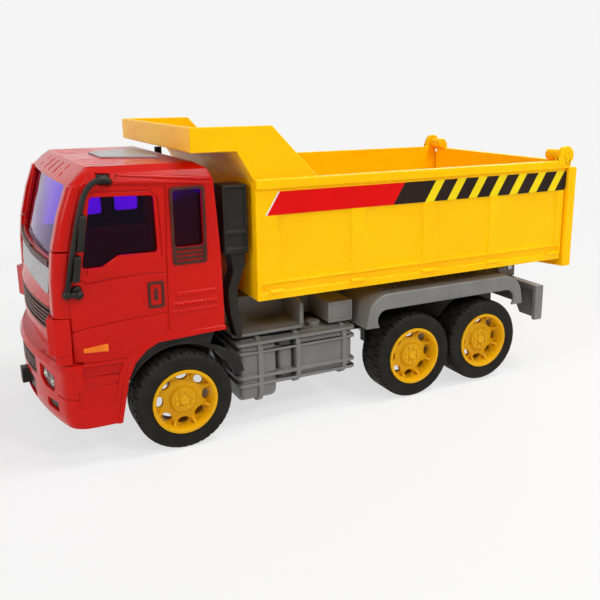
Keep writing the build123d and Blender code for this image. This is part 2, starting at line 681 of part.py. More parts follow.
with BuildPart() as window_trims:                           # quarter windows' frames with louvres below
    with BuildSketch(Plane.YZ):
        with Locations((at((quarter_window_front + quarter_window_rear) / 2),
                        (louvre_low + quarter_window_high + quarter_frame_width) / 2)):
            RectangleRounded(quarter_window_rear - quarter_window_front + 2 * quarter_frame_width,
                             quarter_window_high + quarter_frame_width - louvre_low, window_corner_r)
        with Locations((at((quarter_window_front + quarter_window_rear) / 2),
                        (quarter_window_low + quarter_window_high) / 2)):
            RectangleRounded(quarter_window_rear - quarter_window_front,
                             quarter_window_high - quarter_window_low, window_corner_r, mode=Mode.SUBTRACT)
    extrude(amount=cab_half_width + side_trim_proud, both=True)
    louvre_pitch = (quarter_window_low - louvre_low) / (louvre_slats + 1)
    with BuildSketch(Plane.YZ):
        for number in range(1, louvre_slats + 1):
            with Locations((at((quarter_window_front + quarter_window_rear) / 2),
                            louvre_low + louvre_pitch * number)):
                Rectangle(quarter_window_rear - quarter_window_front - 1.0, louvre_groove)
    extrude(amount=80, both=True, mode=Mode.SUBTRACT)
    add(cab_skin, mode=Mode.SUBTRACT)
finish(window_trims, "window_trims")

with BuildPart() as door_handles:
    with BuildSketch(Plane.YZ):
        with Locations((at((handle_front + handle_rear) / 2), (handle_low + handle_high) / 2)):
            RectangleRounded(handle_rear - handle_front, handle_high - handle_low, 0.8)
            RectangleRounded(handle_rear - handle_front - 2 * handle_frame_width,
                             handle_high - handle_low - 2 * handle_frame_width, 0.5, mode=Mode.SUBTRACT)
            RectangleRounded(handle_grip_width, handle_grip_height, 0.6)
    extrude(amount=cab_half_width + side_trim_proud, both=True)
    add(cab_skin, mode=Mode.SUBTRACT)
finish(door_handles, "door_handles")

with BuildPart() as marker_lamps:
    with BuildSketch(Plane.YZ):
        with BuildLine():
            Polyline(*place(marker_outline), close=True)
        make_face()
    extrude(amount=cab_half_width + side_trim_proud, both=True)
    add(cab_skin, mode=Mode.SUBTRACT)
finish(marker_lamps, "marker_lamps")

with BuildPart() as roof_panel:
    with BuildSketch(Plane.XY.offset(cab_roof_z)):
        with BuildLine():
            Polyline((roof_panel_rear_half, at(roof_panel_rear)),
                     (roof_panel_front_half, at(roof_panel_front)),
                     (-roof_panel_front_half, at(roof_panel_front)),
                     (-roof_panel_rear_half, at(roof_panel_rear)))
            ThreePointArc((-roof_panel_rear_half, at(roof_panel_rear)),
                          (0, at(roof_panel_rear + roof_panel_bow)),
                          (roof_panel_rear_half, at(roof_panel_rear)))
        make_face()
    extrude(amount=roof_panel_thickness)
finish(roof_panel, "roof_panel")

with BuildPart() as plate_recess:
    add(front_plate(panel_outline(plate_half_width - piece_gap, plate_low + piece_gap,
                                  plate_high - piece_gap, 1.1), cab_cavity, grille_back))
    with BuildSketch(Plane.XZ.offset(-at(-nose_reach + 4.6))):   # tow hook
        with Locations((0, (tow_hook_low + tow_hook_high) / 2)):
            RectangleRounded(2 * tow_hook_half_width, tow_hook_high - tow_hook_low, 1.5)
    extrude(amount=4.6)
finish(plate_recess, "plate_recess")

# ================================================================== underframe
with BuildPart() as underframe:
    with BuildSketch(Plane.XY.offset(spine_low)):
        with Locations((0, at((spine_front + spine_rear) / 2))):
            Rectangle(2 * spine_half_width, spine_rear - spine_front)
    extrude(amount=spine_high - spine_low)
    with BuildSketch(Plane.XY.offset(spine_low + spine_wall)):
        with Locations((0, at((spine_front + spine_rear) / 2))):
            Rectangle(2 * (spine_half_width - spine_wall), spine_rear - spine_front - 2 * spine_wall)
    extrude(amount=spine_high, mode=Mode.SUBTRACT)
    for side in (1, -1):
        for axle_name, axle_y, axle_z in axles:
            with BuildSketch(Plane.YZ.offset(side * (spine_half_width - bearing_width))):
                with Locations((axle_y, axle_z - bearing_drop)):
                    Rectangle(2 * bearing_half_length, spine_low - axle_z + bearing_drop + spine_wall,
                              align=(Align.CENTER, Align.MIN))
            extrude(amount=side * bearing_width)
    with BuildSketch(Plane.YZ):
        for axle_name, axle_y, axle_z in axles:
            with Locations((axle_y, axle_z)):
                Circle(axle_r + axle_running_clearance)
    extrude(amount=spine_half_width + 1, both=True, mode=Mode.SUBTRACT)
finish(underframe, "underframe")


def ray(angle, reach):
    """Side-view point at an angle and distance from the front wheel's centre."""
    return (at(reach * cos(radians(angle))), tyre_r + reach * sin(radians(angle)))


for side_name, side in (("left", 1), ("right", -1)):
    with BuildPart() as mudguard:
        with BuildSketch(Plane.YZ.offset(side * liner_inner_x)):
            with Locations((at(0), tyre_r)):
                Circle(liner_inner_r + liner_wall)
            with BuildLine():
                reach = 2 * liner_inner_r
                Polyline(ray(0, 0), ray(liner_front_angle, reach), (at(-reach), tyre_r + 2 * reach),
                         (at(reach), tyre_r + 2 * reach), ray(liner_rear_angle, reach), close=True)
            make_face(mode=Mode.INTERSECT)
            with Locations((at(0), tyre_r)):
                Circle(liner_inner_r, mode=Mode.SUBTRACT)
        extrude(amount=side * (liner_outer_x - liner_inner_x))
        with BuildSketch(Plane.YZ.offset(side * liner_inner_x)):    # narrow rear foot
            with Locations((at(0), tyre_r)):
                Circle(liner_inner_r + flap_length)
            with BuildLine():
                Polyline(ray(0, 0), ray(flap_angle, reach), ray(liner_rear_angle + 2, reach), close=True)
            make_face(mode=Mode.INTERSECT)
            with Locations((at(0), tyre_r)):
                Circle(liner_inner_r, mode=Mode.SUBTRACT)
        extrude(amount=side * (flap_outer_x - liner_inner_x))
    finish(mudguard, f"front_mudguard_{side_name}")

# ================================================================== deck
with BuildPart() as deck:
    with BuildSketch(Plane.XY.offset(spine_high)):          # channel, open underneath
        with Locations((0, at((deck_front + deck_rear) / 2))):
            Rectangle(2 * deck_half_width, deck_rear - deck_front)
    extrude(amount=deck_top_z - spine_high)
    with BuildSketch(Plane.XY.offset(spine_high + deck_wall)):
        with Locations((0, at((deck_front + deck_rear) / 2))):
            Rectangle(2 * (deck_half_width - deck_wall), deck_rear - deck_front - 2 * deck_wall)
    extrude(amount=deck_top_z - spine_high - 2 * deck_wall, mode=Mode.SUBTRACT)
    with BuildSketch(Plane.XY.offset(spine_high - 1)):
        with Locations((0, at((deck_front + deck_rear) / 2))):
            Rectangle(2 * (spine_half_width - spine_wall), deck_rear - deck_front - 12)
    extrude(amount=deck_wall + 2, mode=Mode.SUBTRACT)
    for side in (1, -1):
        with BuildSketch(Plane.XY.offset(shelf_top_z)) as shelf:    # side shelf behind the cab
            with Locations((side * (deck_half_width + shelf_edge_x) / 2, at((shelf_front + shelf_rear) / 2))):
                Rectangle(shelf_edge_x - deck_half_width, shelf_rear - shelf_front)
            outer = shelf.vertices().sort_by(Axis.X)
            fillet(outer[-2:] if side > 0 else outer[:2], shelf_corner_r)
        extrude(amount=-shelf_thickness)
        with BuildSketch(Plane.XZ.offset(-at(shelf_rear))):         # end wall of the shelf
            with BuildLine():
                Polyline((side * (deck_half_width - 1), shelf_top_z - 1),
                         (side * (shelf_edge_x - 2), shelf_top_z - 1),
                         (side * (shelf_edge_x - 2), deck_top_z - 1.5),
                         (side * (shelf_edge_x - 3.5), deck_top_z),
                         (side * (deck_half_width - 1), deck_top_z),
                         close=True)
            make_face()
        extrude(amount=deck_wall)
        for ear_x in (tilt_lug_x - tilt_side_clearance - tilt_ear_width,
                      tilt_lug_x + tilt_lug_width + tilt_side_clearance):   # ears of the bed's hinge
            with BuildSketch(Plane.YZ.offset(side * ear_x)):
                with Locations((at(tilt_y), tilt_z)):
                    Circle(tilt_lug_r)
                with BuildLine():
                    Polyline((at(tilt_y + tilt_lug_r), tilt_z), (at(tilt_y + tilt_lug_r), bumper_top_z),
                             (at(bumper_front - piece_gap), bumper_top_z),
                             (at(bumper_front - piece_gap), spine_high),
                             (at(deck_rear - 2), spine_high), (at(deck_rear - 2), tilt_z), close=True)
                make_face()
            extrude(amount=side * tilt_ear_width)
    with BuildSketch(Plane.XY.offset(spine_high)):          # tail plate under the hinge
        with Locations((0, at((deck_rear - 2 + bumper_front - piece_gap) / 2))):
            Rectangle(2 * (tilt_lug_x + tilt_lug_width + tilt_side_clearance + tilt_ear_width),
                      bumper_front - piece_gap - deck_rear + 2)
    extrude(amount=deck_wall)
    with BuildSketch(Plane.YZ):
        with Locations((at(tilt_y), tilt_z)):
            Circle(tilt_pin_r)
    extrude(amount=80, both=True, mode=Mode.SUBTRACT)
finish(deck, "deck")

tilt_pin_end = tilt_lug_x + tilt_lug_width + tilt_side_clearance + tilt_ear_width + 0.6
with BuildPart() as tilt_pin:
    with BuildSketch(Plane.YZ):
        with Locations((at(tilt_y), tilt_z)):
            Circle(tilt_pin_r)
    extrude(amount=tilt_pin_end, both=True)
finish(tilt_pin, "tilt_pin")

with BuildPart() as side_lockers:
    for side in (1, -1):
        with BuildSketch(Plane.XY.offset(locker_low)):
            with Locations((side * (deck_half_width + locker_edge_x) / 2,
                            at((locker_front + locker_rear) / 2))):
                Rectangle(locker_edge_x - deck_half_width, locker_rear - locker_front)
        extrude(amount=locker_high - locker_low)
        with BuildSketch(Plane.XY.offset(locker_low)):
            with Locations((side * (deck_half_width + locker_edge_x) / 2,
                            at((locker_front + locker_rear) / 2))):
                Rectangle(locker_edge_x - deck_half_width - 2 * locker_wall,
                          locker_rear - locker_front - 2 * locker_wall)
        extrude(amount=locker_high - locker_low - locker_wall, mode=Mode.SUBTRACT)
        with BuildSketch(Plane.YZ.offset(side * (locker_edge_x - locker_recess))):
            with Locations((at((locker_front + locker_rear) / 2), (locker_low + locker_high) / 2)):
                Rectangle(locker_rear - locker_front - 2 * locker_frame,
                          locker_high - locker_low - 2 * locker_frame)
        extrude(amount=side * (locker_recess + 1), mode=Mode.SUBTRACT)
finish(side_lockers, "side_lockers")

# ================================================================== rear fenders and bumper
def fender_line(drop):
    """Side view of the fender's upper surface, lowered or drawn in by drop."""
    foot = fender_foot_z
    top = fender_top_z - drop
    return place([(fender_front + drop, foot), (fender_front + fender_slope, top),
                  (fender_rear - fender_slope, top), (fender_rear - drop, foot)])


for side_name, side in (("left", 1), ("right", -1)):
    with BuildPart() as fender:
        with BuildSketch(Plane.YZ.offset(side * fender_inner_x)):
            with BuildLine():
                Polyline(*fender_line(0), close=True)
            skin = make_face()
            fillet(skin.vertices().group_by(Axis.Y, tol_digits=3)[-1], fender_corner_r)
        extrude(amount=side * (fender_edge_x - fender_inner_x))
        with BuildSketch(Plane.YZ.offset(side * fender_inner_x)):
            with BuildLine():
                Polyline(*fender_line(fender_wall), close=True)
            under = make_face()
            fillet(under.vertices().group_by(Axis.Y, tol_digits=3)[-1], fender_corner_r - fender_wall)
        extrude(amount=side * (fender_edge_x - fender_inner_x - fender_wall), mode=Mode.SUBTRACT)
        with BuildSketch(Plane.YZ.offset(side * (fender_edge_x - fender_wall))):
            with BuildLine():
                Polyline(*fender_line(fender_flange), close=True)
            arch = make_face()
            fillet(arch.vertices().group_by(Axis.Y, tol_digits=3)[-1], fender_arch_r)
        extrude(amount=side * 2 * fender_wall, mode=Mode.SUBTRACT)
    finish(fender, f"rear_fender_{side_name}")

with BuildPart() as rear_bumper:
    with BuildSketch(Plane.XZ.offset(-at(bumper_rear))) as bumper_outline:
        with BuildLine():
            Polyline((-bumper_half_width, bumper_top_z), (bumper_half_width, bumper_top_z),
                     (bumper_half_width, bumper_low_z), (bumper_wing_x, bumper_low_z),
                     (bumper_wing_x - bumper_wing_slope, bumper_mid_z),
                     (-bumper_wing_x + bumper_wing_slope, bumper_mid_z), (-bumper_wing_x, bumper_low_z),
                     (-bumper_half_width, bumper_low_z), close=True)
        make_face()
    extrude(amount=bumper_rear - bumper_front)
    with BuildSketch(Plane.XZ.offset(-at(bumper_rear - bumper_plate))):
        with Locations((0, bumper_top_z - bumper_edge)):
            Rectangle(2 * (bumper_half_width - bumper_edge), 40, align=(Align.CENTER, Align.MAX))
    extrude(amount=bumper_rear - bumper_front, mode=Mode.SUBTRACT)
finish(rear_bumper, "rear_bumper")

# ================================================================== tanks
for side_name, side in (("left", 1), ("right", -1)):
    with BuildPart() as tanks:
        for block, front, rear, outer_x, low, high in tank_blocks:
            with BuildSketch(Plane.XZ.offset(-at(rear))) as section:
                with Locations((side * (tank_inner_x + outer_x) / 2, (low + high) / 2)):
                    Rectangle(outer_x - tank_inner_x, high - low)
                outer = section.vertices().group_by(Axis.X)[-1 if side > 0 else 0]
                fillet(outer, tank_edge_r)
            body = extrude(amount=rear - front)
            ends = [edge for face in body.faces().filter_by(Axis.Y) for edge in face.edges()
                    if side * edge.center().X > tank_inner_x + 1]
            fillet(ends, tank_end_r)
        for level in tank_band_levels:                      # level ribs, which reach in to the underframe
            with BuildSketch(Plane.XY.offset(level)):
                with Locations((side * (spine_half_width + tank_blocks[0][3] + tank_band_proud) / 2,
                                at((tank_blocks[0][1] + tank_blocks[-1][2]) / 2))):
                    RectangleRounded(tank_blocks[0][3] + tank_band_proud - spine_half_width,
                                     tank_blocks[-1][2] - tank_blocks[0][1] + 2 * tank_band_proud, 2.4)
            extrude(amount=tank_band_height)
        for strap_y in tank_strap_places:
            strapped = [row for row in tank_blocks if row[1] < strap_y < row[2]]
            block, front, rear, outer_x, low, high = strapped[0]
            with BuildSketch(Plane.XZ.offset(-at(strap_y + tank_strap_width / 2))):
                with Locations((side * (tank_inner_x + outer_x + tank_band_proud) / 2, (low + high) / 2)):
                    RectangleRounded(outer_x + tank_band_proud - tank_inner_x,
                                     high - low + 2 * tank_band_proud,
                                     tank_edge_r + tank_band_proud)
            extrude(amount=tank_strap_width)
        with BuildSketch(Plane.XY.offset(tank_blocks[-1][5] - 1)):
            with Locations((side * filler_x, at(filler_y))):
                Circle(filler_r)
        extrude(amount=filler_height + 1)
    finish(tanks, f"tanks_{side_name}")

# ================================================================== bed
bed_outline = place([
    (visor_front, visor_low), (visor_kink, visor_low), (bed_front, bed_rim_z - 0.6), (bed_front, bed_skirt_z),
    (bed_rear, bed_skirt_z), (bed_rear, bed_rim_z), (bed_slope_end, bed_rim_z), (visor_top_rear, visor_high),
    (visor_front, visor_high)])
bed_inner = place([
    (visor_front + bed_wall, visor_low + bed_wall), (visor_kink + 1.2, visor_low + bed_wall),
    (bed_front + bed_wall, bed_rim_z), (bed_front + bed_wall, bed_floor_z + bed_floor_thickness),
    (bed_rear + 5, bed_floor_z + bed_floor_thickness), (bed_rear + 5, visor_high + 5),
    (visor_front + bed_wall, visor_high + 5)])
panel_x = bed_half_width - panel_depth
ear_outer_x = bed_half_width + bed_rim_proud + 0.2
ear_inner_x = ear_outer_x - ear_thickness

with BuildPart() as bed_tub:
    with BuildSketch(Plane.YZ):
        with BuildLine():
            Polyline(*bed_outline, close=True)
        make_face()
    extrude(amount=panel_x, both=True)
    with BuildSketch(Plane.YZ):                             # rim lip
        with Locations((at((bed_front + bed_rear) / 2), bed_rim_z - bed_rim_depth / 2)):
            Rectangle(bed_rear - bed_front, bed_rim_depth)
    extrude(amount=bed_half_width + bed_rim_proud, both=True)
    with BuildSketch(Plane.YZ):                             # ribbed outer face
        with Locations((at((bed_front + bed_rear) / 2), (bed_skirt_z + bed_rim_z) / 2)):
            Rectangle(bed_rear - bed_front, bed_rim_z - bed_skirt_z)
        for (rib_front, rib_rear), (next_front, next_rear) in zip(bed_ribs, bed_ribs[1:]):
            with Locations((at((rib_rear + next_front) / 2), (panel_low + panel_high) / 2)):
                Rectangle(next_front - rib_rear, panel_high - panel_low, mode=Mode.SUBTRACT)
        with Locations((at((bed_front + bed_rear) / 2), (rail_high + panel_low - 1.4) / 2)):
            Rectangle(bed_rear - bed_front - 4, panel_low - 1.4 - rail_high, mode=Mode.SUBTRACT)
    extrude(amount=bed_half_width, both=True)
    for tab_front, tab_rear in bed_tabs:
        with BuildSketch(Plane.YZ):
            with Locations((at((tab_front + tab_rear) / 2), (tab_low + tab_high) / 2)):
                Rectangle(tab_rear - tab_front, tab_high - tab_low)
        extrude(amount=bed_half_width + tab_proud, both=True)
    with BuildSketch(Plane.YZ):                             # load space, open above and behind
        with BuildLine():
            Polyline(*bed_inner, close=True)
        make_face()
    extrude(amount=bed_half_width - bed_wall, both=True, mode=Mode.SUBTRACT)
    with BuildSketch(Plane.YZ):                             # hollow under the floor
        with Locations((at((bed_front + bed_rear) / 2), (bed_skirt_z + bed_floor_z) / 2)):
            Rectangle(bed_rear - bed_front - 2 * bed_wall, bed_floor_z - bed_skirt_z)
    extrude(amount=bed_half_width - bed_wall, both=True, mode=Mode.SUBTRACT)
    with BuildSketch(Plane.YZ):
        with Locations((at(bed_rear - bed_wall / 2), (bed_skirt_z + bed_floor_z) / 2)):
            Rectangle(bed_wall + 1, bed_floor_z - bed_skirt_z)
    extrude(amount=bed_half_width - bed_wall, both=True, mode=Mode.SUBTRACT)
    for side in (1, -1):
        with BuildSketch(Plane.YZ.offset(side * runner_x)):     # runners that rest on the deck
            with Locations((at((runner_front + runner_rear) / 2), (deck_top_z + seat_gap + bed_floor_z) / 2)):
                Rectangle(runner_rear - runner_front, bed_floor_z - deck_top_z - seat_gap)
        extrude(amount=side * runner_width)
        with BuildSketch(Plane.YZ.offset(side * tilt_lug_x)):   # hinge lugs
            with Locations((at(tilt_y), tilt_z)):
                Circle(tilt_lug_r)
            with Locations((at(tilt_y), tilt_z)):
                Rectangle(2 * tilt_lug_r, bed_floor_z - tilt_z, align=(Align.CENTER, Align.MIN))
            with Locations((at(tilt_y), tilt_z)):
                Circle(tilt_pin_r + pin_running_clearance, mode=Mode.SUBTRACT)
        extrude(amount=side * tilt_lug_width)
        with BuildSketch(Plane.YZ.offset(side * ear_inner_x)):  # ears that carry the tailgate
            with Locations((at(gate_pivot_y), gate_pivot_z)):
                Circle(ear_r)
            with BuildLine():
                Polyline((at(gate_pivot_y - ear_r), gate_pivot_z),
                         (at(gate_pivot_y - ear_r - 2), bed_rim_z - 2),
                         (at(bed_rear), bed_rim_z - 2), (at(bed_rear), gate_pivot_z), close=True)
            make_face()
        extrude(amount=side * (ear_outer_x - ear_inner_x))
    with BuildSketch(Plane.YZ):
        with Locations((at(gate_pivot_y), gate_pivot_z)):
            Circle(gate_pin_r + pin_running_clearance)
    extrude(amount=80, both=True, mode=Mode.SUBTRACT)
finish(bed_tub, "bed_tub")

# ================================================================== tailgate
gate_inner_y, gate_outer_y = bed_rear + gate_gap, tail_reach
gate_shoulder_x = bed_half_width - bed_wall - gate_gap
gate_outline = [
    (-gate_half_width, gate_corner_z), (-gate_low_half_width, gate_low), (gate_low_half_width, gate_low),
    (gate_half_width, gate_corner_z), (gate_half_width, gate_shoulder_z), (gate_shoulder_x, gate_shoulder_z),
    (gate_shoulder_x, gate_high), (-gate_shoulder_x, gate_high), (-gate_shoulder_x, gate_shoulder_z),
    (-gate_half_width, gate_shoulder_z)]

with BuildPart() as tailgate:
    with BuildSketch(Plane.XZ.offset(-at(gate_outer_y))):
        with BuildLine():
            Polyline(*gate_outline, close=True)
        make_face()
    extrude(amount=gate_outer_y - gate_inner_y)
    with BuildSketch(Plane.XZ.offset(-at(gate_outer_y))):   # recessed field between edge and ribs
        with BuildLine():
            Polyline(*gate_outline, close=True)
        make_face()
        offset(amount=-gate_edge_width, kind=Kind.INTERSECTION)
        with Locations(*[(place_x, (gate_low + gate_high) / 2) for place_x in gate_rib_places]):
            Rectangle(gate_edge_width, gate_high, mode=Mode.SUBTRACT)
    extrude(amount=gate_outer_y - gate_inner_y - gate_plate, mode=Mode.SUBTRACT)
    for side in (1, -1):
        with BuildSketch(Plane.YZ.offset(side * boss_inner_x)):     # knuckles at the top edge
            with Locations((at(gate_pivot_y), gate_pivot_z)):
                Circle(boss_r)
            with BuildLine():
                Polyline((at(gate_pivot_y), gate_pivot_z - boss_r + 0.4),
                         (at(gate_pivot_y), gate_pivot_z + boss_r - 1),
                         (at(gate_inner_y + gate_plate), gate_pivot_z),
                         (at(gate_inner_y + gate_plate), gate_high - 1),
                         (at(gate_inner_y), gate_high - 1), close=True)
            make_face()
        extrude(amount=side * (gate_shoulder_x - boss_inner_x))
        with BuildSketch(Plane.YZ.offset(side * boss_inner_x)):
            with Locations((at(gate_pivot_y), gate_pivot_z)):
                Circle(gate_pin_r)
        extrude(amount=side * (ear_outer_x + 0.3 - boss_inner_x))
finish(tailgate, "tailgate")

# ================================================================== mirrors and stacks
for side_name, side in (("left", 1), ("right", -1)):
    with BuildPart() as mirror:
        with BuildLine():
            FilletPolyline((side * mirror_root_x, at(mirror_root[0]), mirror_root[1]),
                           (side * arm_x, at(mirror_root[0]), mirror_root[1]),
                           (side * arm_x, at(mirror_elbow[0]), mirror_elbow[1]),
                           (side * arm_x, at(mirror_front + 2.4), mirror_housings[1][1]),
                           (side * arm_x, at(mirror_foot[0]), mirror_foot[1]), radius=1.8)
        with BuildSketch(Plane(origin=(side * mirror_root_x, at(mirror_root[0]), mirror_root[1]),
                               z_dir=(side, 0, 0))):
            Circle(mirror_arm_r)
        sweep()
        for low, high in mirror_housings:
            with BuildSketch(Plane.XY.offset(low)):
                with Locations((side * (cab_half_width + mirror_gap + mirror_face_x) / 2,
                                at((mirror_front + mirror_rear) / 2))):
                    RectangleRounded(mirror_face_x - cab_half_width - mirror_gap,
                                     mirror_rear - mirror_front, 1.0)
            extrude(amount=high - low)
        with BuildSketch(Plane.YZ.offset(side * mirror_inner_x)):
            with Locations((at(mirror_foot[0]), mirror_foot[1])):
                Circle(mirror_ball_r)
        extrude(amount=side * (arm_x + mirror_arm_r - mirror_inner_x))
    finish(mirror, f"mirror_{side_name}")

with BuildPart() as intake_stack:
    with BuildSketch(Plane.XY.offset(stack_low)):
        with Locations((stack_x, at((stack_front + stack_rear) / 2))):
            RectangleRounded(2 * stack_half_width, stack_rear - stack_front, 1.0)
    extrude(amount=stack_high - stack_low)
    with BuildSketch(Plane.YZ.offset(stack_x + stack_half_width - stack_panel_depth)):
        for low, high in stack_panels:
            with Locations((at((stack_front + stack_rear) / 2), (low + high) / 2)):
                Rectangle(stack_rear - stack_front - 2 * stack_frame, high - low)
    extrude(amount=stack_panel_depth + 1, mode=Mode.SUBTRACT)
    with BuildSketch(Plane.YZ.offset(stack_x - duct_half_width)):   # duct down to the shelf
        with BuildLine():
            Polyline(*place(duct_outline), close=True)
        make_face()
    extrude(amount=2 * duct_half_width)
finish(intake_stack, "intake_stack")

with BuildPart() as exhaust_stack:
    with BuildSketch(Plane.XY.offset(shelf_top_z)):
        with Locations((-exhaust_x, at(exhaust_foot_y))):
            Circle(exhaust_foot_r)
    extrude(amount=exhaust_body_low - shelf_top_z + 1)
    with BuildSketch(Plane.XY.offset(exhaust_body_low)):
        with Locations((-exhaust_x, at(exhaust_y))):
            Circle(exhaust_body_r)
    extrude(amount=exhaust_body_high - exhaust_body_low)
    with BuildSketch(Plane.XY.offset(exhaust_body_high - 1)):
        with Locations((-exhaust_x, at(exhaust_pipe_y))):
            Circle(exhaust_pipe_r)
    extrude(amount=exhaust_top_z - exhaust_body_high + 1)
finish(exhaust_stack, "exhaust_stack")
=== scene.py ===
"""Visual model of a toy dump truck: finishes, treaded tyres and trim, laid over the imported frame."""

import json
import logging
import math
from dataclasses import dataclass, field
from enum import Enum

import bmesh
import bpy
import numpy as np
from bpy.types import NodeSocket, NodeTree, Object
from mathutils import Matrix, Vector
from mathutils.bvhtree import BVHTree

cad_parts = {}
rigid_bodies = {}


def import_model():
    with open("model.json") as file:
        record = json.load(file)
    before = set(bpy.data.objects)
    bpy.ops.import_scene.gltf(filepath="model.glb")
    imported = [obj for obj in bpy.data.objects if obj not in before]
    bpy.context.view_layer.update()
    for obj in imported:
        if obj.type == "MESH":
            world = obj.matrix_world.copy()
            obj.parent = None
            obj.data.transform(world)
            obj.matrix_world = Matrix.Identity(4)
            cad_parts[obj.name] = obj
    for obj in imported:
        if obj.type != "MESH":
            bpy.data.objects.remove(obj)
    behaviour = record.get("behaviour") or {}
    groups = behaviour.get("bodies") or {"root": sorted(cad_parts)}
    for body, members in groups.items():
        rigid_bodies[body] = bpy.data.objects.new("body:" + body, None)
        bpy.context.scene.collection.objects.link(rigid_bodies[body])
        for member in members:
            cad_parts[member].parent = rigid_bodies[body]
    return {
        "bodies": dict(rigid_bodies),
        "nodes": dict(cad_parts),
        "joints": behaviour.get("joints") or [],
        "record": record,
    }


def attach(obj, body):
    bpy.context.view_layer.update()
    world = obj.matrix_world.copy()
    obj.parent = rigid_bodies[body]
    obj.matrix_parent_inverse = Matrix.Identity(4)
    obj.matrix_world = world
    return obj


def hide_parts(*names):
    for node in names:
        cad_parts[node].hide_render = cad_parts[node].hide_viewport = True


logging.basicConfig(level=logging.INFO, format="%(message)s")
log = logging.getLogger("dump_truck")

MM = 0.001
SIDES = (("left", 1.0), ("right", -1.0))

# The truck's driving sizes, mm.
FRONT_AXLE_Y = -80.5        # the front axle's place in the frame
WHEELBASE = 119.6           # front axle to middle axle
BOGIE_SPACING = 44.2        # middle axle to rear axle
REAR_AXLE_LIFT = 1.0
TYRE_RADIUS = 21.8
BESIDE, AHEAD = 90.0, -300.0    # clear of the truck, where lines that look for its skin start

# How far corners may lie apart and still be merged, metres.
NODE_MERGE, PIECE_MERGE = 2e-6, 1e-6

# Noises that all finishes share.
TONE_STOPS = (0.32, 0.68)       # where the broad noise runs from the deep tone to the tone
PATCH_RATIO = 9.0               # patches of roughness to one patch of colour
PATCH_SPAN = (0.3, 0.7)         # part of the patches' noise that the roughness follows
WAVE_SCALE = 140.0              # moulding waviness, per metre
WAVE_HEIGHT, GRAIN_HEIGHT = 0.0006, 0.00008     # metres
SCUFF_TURN = (0.4, 0.7, 0.3)    # radians
SCUFF_STRETCH = (260.0, 1500.0, 260.0)          # per metre
SCUFF_SPAN = (0.66, 0.8)        # peaks of the stretched noise that show as scuffs
SCUFF_PALENESS = 0.35
PLASTIC_IOR, GLAZING_IOR = 1.46, 1.17
METALLIC_SHARE = 0.7
GLOW_REACH = (1.0, 0.45, 0.12)  # how far red, green and blue light run under the skin
GLOW_SCALE = 0.0025             # metres to one of those
ROUNDING_STEPS = 3              # faces across a rounded edge

Pair = tuple[float, float]
Triple = tuple[float, float, float]
Surface = tuple[np.ndarray, np.ndarray]     # places in mm, and the corner numbers of the faces


def add_node(tree: NodeTree, kind: str, settings: dict, **traits: str) -> bpy.types.Node:
    """Add a shader node.

    Args:
        tree: the tree of a material or of the world.
        kind: the node's type.
        settings: what goes into its inputs, by their names or numbers. A socket is linked.
        traits: the node's own properties, which are set before its inputs.

    Returns:
        The new node.
    """
    node = tree.nodes.new(kind)
    for trait, choice in traits.items():
        setattr(node, trait, choice)
    for key, setting in settings.items():
        if isinstance(setting, NodeSocket):
            tree.links.new(setting, node.inputs[key])
        else:
            node.inputs[key].default_value = setting
    return node


def map_range(tree: NodeTree, value: NodeSocket, span: Pair, target: Pair) -> NodeSocket:
    """Return the value carried from one range to another, clamped."""
    ends = zip(("From Min", "From Max", "To Min", "To Max"), (*span, *target))
    return add_node(tree, "ShaderNodeMapRange", {"Value": value, **dict(ends)}).outputs["Result"]


def math_node(tree: NodeTree, operation: str, first: NodeSocket,
              second: NodeSocket | float) -> NodeSocket:
    """Return what an operation makes of two values, the second of which may be a number."""
    return add_node(tree, "ShaderNodeMath", {0: first, 1: second}, operation=operation).outputs["Value"]


class Sheen(Enum):
    """How a moulding's skin takes the light."""

    GLOSS = "gloss"
    SATIN = "satin"
    RUBBER = "rubber"
    METALLIC = "metallic"
    GLAZING = "glazing"
    VINYL = "vinyl"


